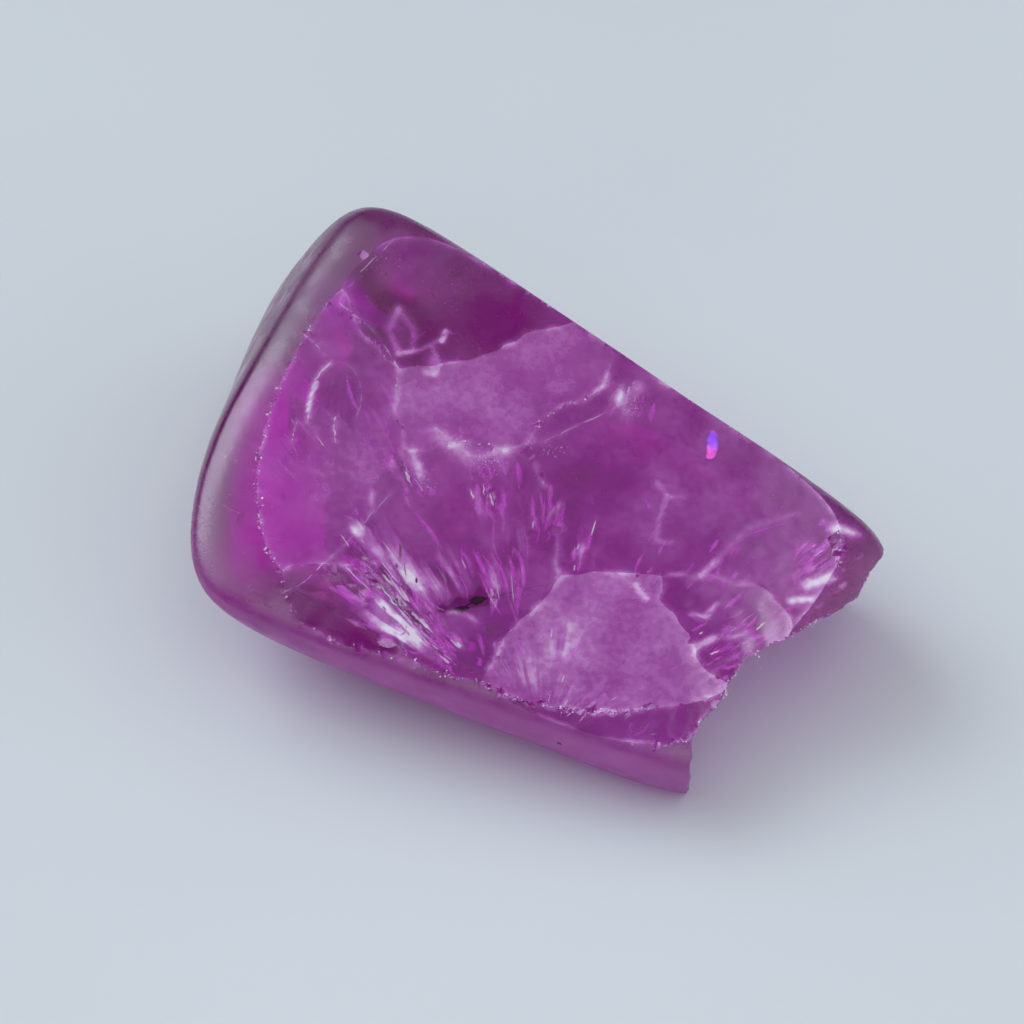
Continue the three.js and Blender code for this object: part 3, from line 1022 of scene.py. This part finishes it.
def feathers(surface):
    """The feathers under the splintered places, apart from those that would hide a bead."""
    draws = np.random.default_rng(41)
    shapes = []
    for middle, spread, _, count, longest, widest, _ in SPLINTERED.values():
        for x, y in np.array(middle) + draws.normal(size=(count, 2)) * spread * SPLINTER_SPREAD:
            hit = drop(surface, x, y)[0]
            size = draws.uniform(0.3, 1, 2) * (longest, widest)
            if hit is not None:
                normal = smooth_normal(surface, np.array(hit))
                shapes.append(feather(np.array(hit), normal, *size, draws))
    return clear_of_beads(shapes)


def clear_of_beads(shapes):
    """Those closed shapes that leave the needle's beads in plain sight."""
    for bead, _, _ in NEEDLE_BEADS:
        away = [np.linalg.norm(vertices[:, :2] - bead[:2], axis=1).min() for vertices, _ in shapes]
        shapes = [shape for shape, far in zip(shapes, away) if far > BEAD_ROOM]
    return shapes


def pocket(middle, size, looks, along, draws):
    """A flat angular hollow."""
    out = direction(*looks)
    turn = np.column_stack([*square_axes(out, unit(along)), out])
    vertices, faces = shard(np.array(size) / 2, turn, draws)
    return vertices + middle, faces


def open_cracks(stone, surface):
    """Cuts every crack, feather, hollow and pocket into the stone."""
    draws = np.random.default_rng(43)
    shapes = small_cracks(surface) + feathers(surface)
    for number, (middle, azimuth, elevation, along, *size) in enumerate(CRACKS.values()):
        shapes.append(lens(np.array(middle), direction(azimuth, elevation), along, *size, number + 3))
    for path, radius in HOLLOWS.values():
        shapes.append(tube(path, (radius * 0.5, radius, radius * 0.8, radius, radius * 0.4)))
    shapes += [pocket(*numbers, draws) for numbers in POCKETS.values()]
    cut_all(stone, shapes, CRACKED)


# ---------------------------------------------------------------- finish of the stone's mesh

# How rough each kind of surface is. The bowls of the broken top and end are FRESH.
ROUGHNESS = {SKIN: 0.15, BASE: 0.60, END: 0.20, FLAKED: 0.25, PITTED: 0.35, CRACKED: 0.08}
FRESH = 0.08
ROUGHNESS_NEAR_WALL = 0.42
ROUGHNESS_FAR_WALL = 0.32
FAR_WALL = 0.25  # a face of the skin that looks to the far side more than this is on the far wall
MATTE = 0.35  # the upper left corner, which is worn matte
MATTE_PATCH = (-14.5, 7.5, 4.0)
MATTE_REACH = 6.5
SHARPEST = 35  # the turn, in degrees, beyond which an edge is kept sharp


def set_sharp(mesh):
    """Smooth shading, with an edge kept sharp where two surfaces of the stone meet."""
    pairs = edge_faces(mesh)
    normals = face_normals(mesh)
    turn = (normals[pairs[:, 0]] * normals[pairs[:, 1]]).sum(1)
    sharp = edges_met(mesh, pairs) | (turn < math.cos(math.radians(SHARPEST)))
    mesh.shade_smooth()
    mark(mesh, "sharp_edge", "BOOLEAN", "EDGE", sharp)


def set_roughness(mesh):
    """Marks each face with how rough its surface is."""
    of_bowls = [FRESH] * len(BOWLS) + [ROUGHNESS[SKIN]] * len(CHIPS)
    values = for_each_source(ROUGHNESS, of_bowls)[face_sources(mesh)]
    skin = values == ROUGHNESS[SKIN]
    values = values + skin * facing_near(mesh) * (ROUGHNESS_NEAR_WALL - values)
    values[skin & (face_normals(mesh)[:, 1] > FAR_WALL)] = ROUGHNESS_FAR_WALL
    away = np.linalg.norm(read(mesh.polygons, "center", 3) - MATTE_PATCH, axis=1) / MATTE_REACH
    values = np.where(face_sources(mesh) == SKIN, values + (MATTE - values) * np.exp(-(away**4)), values)
    mark(mesh, "roughness", "FLOAT", "FACE", values)


# How much of the frosting each kind of surface takes, and the haze on it. The bowls take it all.
FROST_SHARE = {SKIN: 0.3, BASE: 0.3, END: 1.0, FLAKED: 0.8, PITTED: 0.3, CRACKED: 0.0}
HAZE = {SKIN: 0.05, BASE: 0.05, END: 0.05, FLAKED: 0.30, PITTED: 0.40, CRACKED: 0.0}
THIN_FROST = 0.02  # everywhere
PATCHY_FROST = 0.07  # what comes and goes over the stone
SPLINTER_FROST_AND_HIGHLIGHT = 0.62  # frosting, partly painted highlight of the window on the hackles, for each unit of strength in SPLINTERED
EDGE_FROST = 0.30
EDGE_WIDTH = 0.16
NEAR_WALL_FROST_AND_SHEEN = 0.16  # frosting on the near wall, partly painted sheen, the floor's reflection
MOST_FROST = 1.3
PAINTED_SHADE_FROM, PAINTED_SHADE_OVER = -10.5, 3.5  # painted shade on the left end's skin, from this place and over this length
FROST_ANGLE = 0.065  # the grain of the frosting, across and along the fan of hackles
FROST_LENGTH = 5.0


LINE_STEPS = 24  # between two points of a bright line
FIGURE_STEP = 0.06
LINE_FROST, FROST_PER_WIDTH = 0.03, 3.5  # the frosting along a bright line


def drawn_lines(surface):
    """Every bright line and figure, as points on the surface, with its strength and half its width."""
    lines = [
        (smooth_line(np.array(path), LINE_STEPS), LINE_FROST + width * FROST_PER_WIDTH, EDGE_WIDTH)
        for path, width in BRIGHT_LINES.values()
    ]
    lines += [
        (straight_line(np.array(path), FIGURE_STEP), strength, width)
        for path, strength, width in FIGURES.values()
    ]
    for path, strength, width in lines:
        hits = [drop(surface, x, y)[0] for x, y in path]
        yield np.array([hit for hit in hits if hit is not None]), strength, width


def straight_line(path, step):
    """Points along the straight stretches of a path, about a step apart."""
    parts = [np.linspace(a, b, max(2, int(np.linalg.norm(b - a) / step))) for a, b in zip(path, path[1:])]
    return np.concatenate(parts)


FADED = 2.5  # how many of its widths away a line's frosting has faded out
AT_ONCE = 5000  # points


def drawn_frost(points, surface):
    """How much frosting the lines and figures add at each point, some of it painted glints and sheen."""
    total = np.zeros(len(points))
    for line, strength, width in drawn_lines(surface):
        reach = width * FADED
        near = np.flatnonzero(((points > line.min(0) - reach) & (points < line.max(0) + reach)).all(1))
        for part in np.array_split(near, len(near) // AT_ONCE + 1):
            far = np.linalg.norm(points[part, None] - line, axis=2).min(1, initial=BEYOND)
            total[part] += strength * np.exp(-(far / width)**2)
    return total


def splintered_frost_and_highlight(points):
    """How much frosting the splintered places have at each point, partly painted highlight."""
    total = np.zeros(len(points))
    for middle, spread, strength, *_ in SPLINTERED.values():
        away = (points[:, :2] - middle) / spread
        share = np.exp(-(away**2).sum(1)) * (0.75 + 0.5 * noise(points / 0.9, 62))
        total += SPLINTER_FROST_AND_HIGHLIGHT * strength * share
    return total


def facing_near(mesh):
    """From 0 to 1, how much each face looks to the near side."""
    return np.clip(-face_normals(mesh)[:, 1] * 1.6 - 0.5, 0, 1)


def for_each_source(values, of_bowls):
    """A number for each source of faces: the given ones, and then one for each bowl."""
    return np.array([values[source] for source in range(FIRST_BOWL)] + of_bowls)


def set_frost(mesh, edges, surface):
    """Marks how frosted each corner of each face is, partly as painted sheen and highlights, and how much
    painted shade dims what is seen through the left end's skin.
    """
    points = corner_positions(mesh)
    stringy = splintered_frost_and_highlight(points)
    cover = THIN_FROST + PATCHY_FROST * rough_noise(points, 2.8, 3, 61) + stringy
    _, _, tree = edges
    to_edge = np.array([tree.find(point)[2] for point in points])
    cover += EDGE_FROST * np.exp(-(to_edge / EDGE_WIDTH)**2) * (0.6 + noise(points / 0.7, 63))
    # stringy: where the splintered frosting lies, partly painted highlight
    mark(mesh, "stringy", "FLOAT", "POINT", np.clip(stringy * 5, 0, 1))
    mark(mesh, "drawn", "FLOAT", "POINT", drawn_frost(points, surface))

    sources = for_each_corner(mesh, face_sources(mesh))
    share = for_each_source(FROST_SHARE, [1.0] * len(BOWL_LIST))[sources]
    # the bowls' haze is partly painted sheen, the sky's reflection on the face
    haze_and_sheen = for_each_source(HAZE, [RELIEF.get(name, PLAIN).get("haze_and_sheen", 0) for name in BOWL_LIST])[sources]
    # the near wall's frosting is partly painted sheen
    wall = for_each_corner(mesh, facing_near(mesh)) * NEAR_WALL_FROST_AND_SHEEN * (sources == SKIN)
    corners = read(mesh.loops, "vertex_index", kind=np.int32)
    mark(mesh, "frost", "FLOAT", "CORNER", np.clip(cover[corners] + haze_and_sheen, 0, MOST_FROST) * share + wall)
    # painted shade: the left end's skin is marked to tint what shows through it darker, as if shaded there
    painted_shade = np.clip((PAINTED_SHADE_FROM - points[corners, 0]) / PAINTED_SHADE_OVER, 0, 1) * (sources == SKIN)
    mark(mesh, "painted_shade", "FLOAT", "CORNER", painted_shade)


def set_grain(mesh):
    """Marks where each point lies in the fan of hackles, for the way that the frosting's grain runs."""
    points = corner_positions(mesh)
    way = points - FRACTURE_START
    angle = np.arctan2(way[:, 1], way[:, 0])
    angle = np.where(angle < -math.pi / 2, angle + 2 * math.pi, angle)
    far = np.linalg.norm(way, axis=1)
    grain = np.stack([angle / FROST_ANGLE, far / FROST_LENGTH, points[:, 2] / 6], 1)
    mark(mesh, "grain", "FLOAT_VECTOR", "POINT", grain)


def place_in_frame(made):
    """Scales a finished mesh from millimetres to metres and puts it where the stone lies."""
    made.data.transform(Matrix.Translation(Vector(ORIGIN * MM)) @ Matrix.Scale(MM, 4))
    made.data.update()


# ---------------------------------------------------------------- materials


def nodes_of(material):
    """The nodes and links of a material or a world."""
    material.use_nodes = True
    return material.node_tree.nodes, material.node_tree.links


def add_node(material, kind, **values):
    """A new node with its named inputs set, or its own settings where it has no such input."""
    made = nodes_of(material)[0].new(kind)
    for name, value in values.items():
        plain = name.replace("_", " ").title()
        if plain in made.inputs:
            made.inputs[plain].default_value = value
        else:
            setattr(made, name, value)
    return made


def marked(material, name, output="Fac"):
    """What the mesh is marked with under a name, as a socket."""
    return add_node(material, "ShaderNodeAttribute", attribute_name=name).outputs[output]


def map_range(material, source, numbers):
    """A smooth change from one value to another as a socket's value goes from one to another."""
    made = add_node(material, "ShaderNodeMapRange", interpolation_type="SMOOTHSTEP")
    for name, value in zip(("From Min", "To Min", "From Max", "To Max"), numbers):
        made.inputs[name].default_value = value
    nodes_of(material)[1].new(source, made.inputs["Value"])
    return made.outputs[0]


def mottling(material, coordinates, scale, numbers, detail=3.0):
    """A number that wanders between two over a surface."""
    grain = add_node(material, "ShaderNodeTexNoise", scale=scale, detail=detail)
    nodes_of(material)[1].new(coordinates, grain.inputs["Vector"])
    return map_range(material, grain.outputs["Fac"], (0.32, numbers[0], 0.68, numbers[1]))


def maths(material, operation, *sources, clamped=False):
    """A sum, product or other result of sockets and plain numbers."""
    made = add_node(material, "ShaderNodeMath", operation=operation, use_clamp=clamped)
    for socket, source in zip(made.inputs, sources):
        if isinstance(source, (int, float)):
            socket.default_value = source
        else:
            nodes_of(material)[1].new(source, socket)
    return made.outputs[0]


def mixed(material, share, first, second):
    """A colour between two, each a socket or plain numbers."""
    made = add_node(material, "ShaderNodeMixRGB")
    for socket, source in zip(made.inputs, (share, first, second)):
        if isinstance(source, tuple):
            socket.default_value = source
        else:
            nodes_of(material)[1].new(source, socket)
    return made.outputs[0]


LET_THROUGH = (0.987, 0.0, 0.976, 1)  # how much of red, green and blue isn't absorbed
ABSORPTION = 900  # how strongly the rest is, per metre
REFRACTION = 1.90
TINT_LOW = (0.92, 0.70, 0.90, 1)  # how the surface tints what is seen through it, where it is cloudiest
TINT_HIGH = (1.0, 1.0, 1.0, 1)
PAINTED_SHADE_TINT = (0.48, 0.14, 0.47, 1)  # painted shade: the darker tint that the left end's skin gives what is seen through it
FROST_LOW = (0.90, 0.18, 0.90, 1)  # thin frosting
FROST_HIGH = (0.96, 0.80, 0.97, 1)  # thick frosting
FROST_CLOUDS = 0.9  # how much of the light a full frosting doesn't let into the stone
FROST_ROUGHENS = 0.35
BUMP_HEIGHT = 0.012  # how high the grain of the frosting stands


def zircon():
    """Clear magenta crystal, rougher on its skin from wear, frosted where it is splintered and crushed,
    partly as painted sheen, with painted shade on its left end.
    """
    material = bpy.data.materials.new("zircon")
    nodes, links = nodes_of(material)
    shader = nodes["Principled BSDF"]
    shader.inputs["IOR"].default_value = REFRACTION
    place = add_node(material, "ShaderNodeTexCoord").outputs["Object"]
    grain = marked(material, "grain", "Vector")
    cover = marked(material, "frost")

    streaks = mottling(material, grain, 1.0, (0.0, 1.0), 2.0)
    crumbs = mottling(material, place, 3.0 / MM, (0.85, 1.12))
    patches = mottling(material, place, 0.5 / MM, (0.8, 1.2), 2.0)
    strands = maths(material, "MULTIPLY_ADD", maths(material, "POWER", streaks, 2.0), 2.0, 0.02)
    more = maths(material, "SUBTRACT", strands, patches)
    texture = maths(material, "MULTIPLY_ADD", marked(material, "stringy"), more, patches)
    frost = maths(material, "MULTIPLY_ADD", cover, texture, marked(material, "drawn"))
    frost = maths(material, "MULTIPLY", frost, crumbs, clamped=True)
    clear = maths(material, "MULTIPLY_ADD", frost, -FROST_CLOUDS, 1.0)
    links.new(clear, shader.inputs["Transmission Weight"])

    cloud = mottling(material, place, 0.55 / MM, (0.0, 1.0), 6.0)
    tint = mixed(material, cloud, TINT_LOW, TINT_HIGH)
    white = mixed(material, maths(material, "POWER", frost, 2.0), FROST_LOW, FROST_HIGH)
    share = maths(material, "MULTIPLY", frost, 8.0, clamped=True)
    # painted shade on the left end's skin
    tint = mixed(material, marked(material, "painted_shade"), tint, PAINTED_SHADE_TINT)
    links.new(mixed(material, share, tint, white), shader.inputs["Base Color"])

    spread = mottling(material, place, 0.9 / MM, (0.7, 1.3))
    rough = maths(material, "MULTIPLY", marked(material, "roughness"), spread)
    links.new(maths(material, "MULTIPLY_ADD", frost, FROST_ROUGHENS, rough), shader.inputs["Roughness"])

    bump = add_node(material, "ShaderNodeBump", strength=1.0, distance=BUMP_HEIGHT * MM)
    height = maths(material, "MULTIPLY", maths(material, "ADD", texture, crumbs), cover)
    links.new(height, bump.inputs["Height"])
    links.new(bump.outputs[0], shader.inputs["Normal"])
    volume = add_node(material, "ShaderNodeVolumeAbsorption", color=LET_THROUGH, density=ABSORPTION)
    links.new(volume.outputs[0], nodes["Material Output"].inputs["Volume"])
    return material


def coloured(material, source, bands, **settings):
    """Gives a material its other settings, and colours that change through bands with a socket's value."""
    nodes, links = nodes_of(material)
    ramp = add_node(material, "ShaderNodeValToRGB")
    for position, _ in bands[1:-1]:
        ramp.color_ramp.elements.new(position)
    for element, (position, colour) in zip(ramp.color_ramp.elements, bands):
        element.position = position
        element.color = (*colour, 1)
    shader = nodes["Principled BSDF"]
    links.new(source, ramp.inputs["Fac"])
    links.new(ramp.outputs[0], shader.inputs["Base Color"])
    for name, value in settings.items():
        shader.inputs[name].default_value = value


def two_tone(name, low, high, size, roughness, opacity=1.0):
    """A material whose colour wanders between two, over patches of a size in mm."""
    material = bpy.data.materials.new(name)
    place = add_node(material, "ShaderNodeTexCoord")
    grain = add_node(material, "ShaderNodeTexNoise", scale=1 / (size * MM), detail=3.0)
    nodes_of(material)[1].new(place.outputs["Object"], grain.inputs["Vector"])
    bands = ((0.35, low), (0.65, high))
    coloured(material, grain.outputs["Fac"], bands, Roughness=roughness, Alpha=opacity)
    return material


# The flake's colours, from one side to the other.
RAINBOW = (
    (0.0, (0.9, 0.5, 0.9)), (0.2, (1.0, 0.85, 0.5)), (0.35, (1, 1, 1)), (0.5, (0.4, 0.7, 1.0)),
    (0.8, (0.2, 0.25, 1.0)), (1.0, (0.5, 0.3, 0.9)),
)


def rainbow_material():
    """Bands of colour across a thin flake, as a film of air in a crack shows them."""
    material = bpy.data.materials.new("rainbow_flake")
    place = add_node(material, "ShaderNodeTexCoord")
    split = add_node(material, "ShaderNodeSeparateXYZ")
    nodes_of(material)[1].new(place.outputs["Generated"], split.inputs[0])
    coloured(material, split.outputs["Y"], RAINBOW, Metallic=0.85, Roughness=0.22)
    return material


# ---------------------------------------------------------------- camera, floor and light

CAMERA_AZIMUTH, CAMERA_ELEVATION = -62, 45  # where the camera stands, seen from the stone
CAMERA_DISTANCE = 208.0
LENS = 150
NEAREST_SEEN = 0.01  # in metres


def looking(way):
    """The turn of a camera or lamp that looks along a direction."""
    return Vector(way).to_track_quat("-Z", "Y").to_euler()


def camera():
    made = linked("camera", bpy.data.cameras.new("camera"))
    made.data.lens = LENS
    made.data.clip_start = NEAREST_SEEN
    back = direction(CAMERA_AZIMUTH, CAMERA_ELEVATION)
    made.location = Vector((ORIGIN + back * CAMERA_DISTANCE) * MM)
    made.rotation_euler = looking(-back)
    bpy.context.scene.camera = made


FLOOR_LOW = (0.74, 0.765, 0.79)
FLOOR_HIGH = (0.77, 0.795, 0.82)
FLOOR_HALF = 3.0  # half the floor's width, in metres
FLOOR_HEIGHT = -0.05  # just under the stone


def floor():
    corners = [
        (x * FLOOR_HALF, y * FLOOR_HALF, FLOOR_HEIGHT * MM)
        for x, y in ((-1, -1), (1, -1), (1, 1), (-1, 1))
    ]
    made = linked("floor", bpy.data.meshes.new("floor"))
    made.data.from_pydata(corners, [], [(0, 1, 2, 3)])
    made.data.materials.append(two_tone("pale_floor", FLOOR_LOW, FLOOR_HIGH, 60, 0.8))
    made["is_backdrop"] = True


# Lamps that look at the stone: azimuth, elevation, distance and width in metres, and power in watts.
LAMPS = {
    "top": (118, 56, 1.3, 1.6, 3.4),
    "front": (-70, 62, 0.3, 0.25, 0.185),
}


def softbox(name, azimuth, elevation, distance, size, power):
    """A square lamp that isn't seen in the gloss of the stone."""
    lamp = bpy.data.lights.new(name, "AREA")
    lamp.size = size
    lamp.energy = power
    made = linked(name, lamp)
    out = direction(azimuth, elevation)
    made.location = Vector(out * distance)
    made.rotation_euler = looking(-out)
    made.visible_glossy = False


WINDOW_AZIMUTH, WINDOW_ELEVATION = 172, 40  # where most of the light comes from
SKY_COLOUR = (0.85, 0.945, 1.04, 1)
# The bright parts of the surroundings: where each is, and how bright it is by how near a way is to it, as
# from a cosine and a brightness to another.
BRIGHT_PARTS = {
    "window": (WINDOW_AZIMUTH, WINDOW_ELEVATION, (0.905, 0.0, 0.975, 1.7)),
    "round the window": (195, 45, (0.78, 0.09, 1.0, 1.4)),
    "pale wall across from it": (0, 6, (0.0, 0.0, 1.0, 0.75)),
}


def world():
    """Soft light from all round, brighter towards the window and the pale wall across from it."""
    made = bpy.data.worlds.new("studio")
    bpy.context.scene.world = made
    nodes, links = nodes_of(made)
    place = add_node(made, "ShaderNodeTexCoord")
    total = 0.0
    for azimuth, elevation, numbers in BRIGHT_PARTS.values():
        toward = add_node(made, "ShaderNodeVectorMath", operation="DOT_PRODUCT")
        toward.inputs[1].default_value = direction(azimuth, elevation)
        links.new(place.outputs["Generated"], toward.inputs[0])
        total = maths(made, "ADD", total, map_range(made, toward.outputs["Value"], numbers))
    links.new(total, nodes["Background"].inputs["Strength"])
    nodes["Background"].inputs["Color"].default_value = SKY_COLOUR


def studio():
    """The camera, the floor, the surroundings and the lamps, and how light is followed."""
    camera()
    floor()
    world()
    for name, numbers in LAMPS.items():
        softbox(name, *numbers)
    scene = bpy.context.scene
    scene.view_settings.view_transform = "Standard"
    scene.cycles.max_bounces = 20
    scene.cycles.transmission_bounces = 16
    scene.cycles.glossy_bounces = 12
    scene.cycles.diffuse_bounces = 4


# ---------------------------------------------------------------- the whole scene


def stone():
    """The stone itself. Gives its edges and its surface, for what is laid on them."""
    made = broken_stone()
    edges = rim(made.data)
    flake_edges(made)
    pit_skin(made)
    corners = [polygon.vertices[:] for polygon in made.data.polygons]
    surface = BVHTree.FromPolygons(corner_positions(made.data).tolist(), corners)
    open_cracks(made, surface)
    set_sharp(made.data)
    set_roughness(made.data)
    set_frost(made.data, edges, surface)
    set_grain(made.data)
    made.data.materials.clear()
    made.data.materials.append(zircon())
    finish_piece(made)
    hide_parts(STONE)
    return edges, surface


def finish_piece(made):
    """Puts a finished piece in place, as part of the stone."""
    place_in_frame(made)
    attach(made, "root")


def sealed_piece(name, shapes, material):
    """A piece of many small closed shapes inside or on the stone."""
    made = new_object(name, *joined(shapes))
    made.data.materials.append(material)
    finish_piece(made)


def grains(edges):
    """White crushed grains left on the broken edges."""
    draws = np.random.default_rng(19)
    shapes = []
    for name, numbers in CRUSHED.items():
        for place in crushed_places(edges, name, numbers[5], draws)[0]:
            size = mostly_small(draws, *GRAIN_SIZE)
            spot = place + draws.normal(size=3) * (0.10, 0.10, 0.03)
            radii = size * draws.uniform(0.5, 1.3, 3)
            shapes.append(blob(spot, radii, any_turn(draws), len(shapes), 1, 0.5))
    material = two_tone("crushed", (0.80, 0.45, 0.82), (0.97, 0.88, 0.98), 0.2, 0.5)
    sealed_piece("crushed_grains", shapes, material)


SPLINTER_HEIGHT = 0.01  # how far a splinter's middle line stands above the surface
SPLINTER_OPACITY = 0.5


def onto(surface, points, height=SPLINTER_HEIGHT):
    """Points dropped straight down on the stone's top, or nothing if any of them misses."""
    hits = [drop(surface, x, y)[0] for x, y in points]
    return None if None in hits else np.array(hits) + (0, 0, height)


def splinter(surface, line, width, draws):
    """A thin flat splinter along a line of points seen from above."""
    line = onto(surface, line)
    if line is None or np.abs(np.diff(line[:, 2])).max() > 0.5:
        return []
    across = np.cross(line[-1] - line[0], (0, 0, 1)) + draws.normal(size=3) * 0.2 * width
    widths = np.array((0.05, 1, draws.uniform(0.4, 1.2), draws.uniform(0.4, 1.2), 0.05)) * width
    return [tube(line, widths, 6, 4, across, 0.2)]


def splinters(surface):
    """Splinters that lie along the hackles, half loose from the fracture."""
    draws = np.random.default_rng(29)
    shapes = bright_lines(surface, draws)
    for middle, spread, _, _, longest, widest, count in SPLINTERED.values():
        for _ in range(count):
            start = np.array(middle) + draws.normal(size=2) * spread * SPLINTER_SPREAD
            way = unit(start - FRACTURE_START[:2]) + draws.normal(size=2) * 0.12
            length = longest * draws.uniform(0.1, 0.5)
            line = start + np.linspace(-0.5, 0.5, 5)[:, None] * length * way
            line += draws.normal(size=2) * 0.05 * np.array([0, 1, 0.4, 1, 0])[:, None]
            shapes += splinter(surface, line, widest * draws.uniform(0.05, 0.25) / 2, draws)
    material = two_tone("splinter", (0.80, 0.55, 0.84), (0.97, 0.90, 0.98), 0.4, 0.35, SPLINTER_OPACITY)
    sealed_piece("splinters", clear_of_beads(shapes), material)


def bright_lines(surface, draws):
    """The bright broken lines, each as a row of short splinters."""
    shapes = []
    for path, width in BRIGHT_LINES.values():
        line = smooth_line(np.array(path), 12)
        start = 0
        while start < len(line) - 3:
            end = min(start + int(draws.integers(3, 9)), len(line) - 1)
            stretch = line[np.linspace(start, end, 5).astype(int)] + draws.normal(size=(5, 2)) * 0.015
            shapes += splinter(surface, stretch, width * draws.uniform(0.3, 1.2), draws)
            start = end + int(draws.integers(0, 3))
    return shapes


def plate(spot, size, draws):
    """A tiny flat plate: two low pyramids, base to base."""
    corners = np.array([(1, 0, 0), (-1, 0, 0), (0, 1, 0), (0, -1, 0), (0, 0, 0.25), (0, 0, -0.25)])
    faces = np.array([
        (0, 2, 4), (2, 1, 4), (1, 3, 4), (3, 0, 4), (2, 0, 5), (1, 2, 5), (3, 1, 5), (0, 3, 5),
    ])
    return spot + corners * size @ any_turn(draws).T, faces


def clouds(surface):
    """Tiny bright plates, as veils inside the stone."""
    draws = np.random.default_rng(23)
    shapes = []
    for middle, spread, count in CLOUDS.values():
        for _ in range(count):
            spot = np.array(middle) + draws.normal(size=3) * spread * 0.5
            shapes.append(plate(spot, CLOUD_PLATE / 2 * draws.uniform(0.4, 1.3), draws))
    while len(shapes) < SPECKS + sum(count for _, _, count in CLOUDS.values()):
        spot = under_top(surface, draws, mostly_small(draws, *SPECK_DEPTH))
        if spot is not None:
            shapes.append(plate(spot, CLOUD_PLATE * mostly_small(draws, *SPECK_SIZE), draws))
    sealed_piece("veils", shapes, two_tone("veil", (0.8, 0.65, 0.85), (0.95, 0.9, 0.97), 0.5, 0.35))


def needle():
    """The dark needle, with two fat beads on it."""
    shapes = [tube(NEEDLE, (0.4 * NEEDLE_RADIUS, NEEDLE_RADIUS, NEEDLE_RADIUS, 0.8 * NEEDLE_RADIUS, 0.02))]
    way = unit(np.array(NEEDLE[2]) - NEEDLE[0])
    turn = np.column_stack([way, *square_axes(way)])
    for number, (middle, length, thickness) in enumerate(NEEDLE_BEADS):
        radii = np.array([length, thickness, thickness]) / 2
        shapes.append(blob(np.array(middle), radii, turn, number + 4, 3))
    material = two_tone("needle", (0.03, 0.004, 0.02), (0.07, 0.01, 0.04), 0.3, 0.7)
    sealed_piece("dark_needle", shapes, material)


def rainbow_flake(surface):
    """The thin flake under the top that flashes at the front."""
    middle, along, length, width = FLAKE
    out = glinting(smooth_normal(surface, np.array(middle)))
    shape = lens(np.array(middle), out, along, length, width, SMALL_GAP, 31)
    sealed_piece("rainbow_flake", [shape], rainbow_material())


studio()
edges, surface = stone()
grains(edges)
splinters(surface)
clouds(surface)
needle()
rainbow_flake(surface)
boxes = {"cad": cad_bounds, "visual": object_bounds()}
{name: [list(corner) for corner in box] for name, box in boxes.items()}
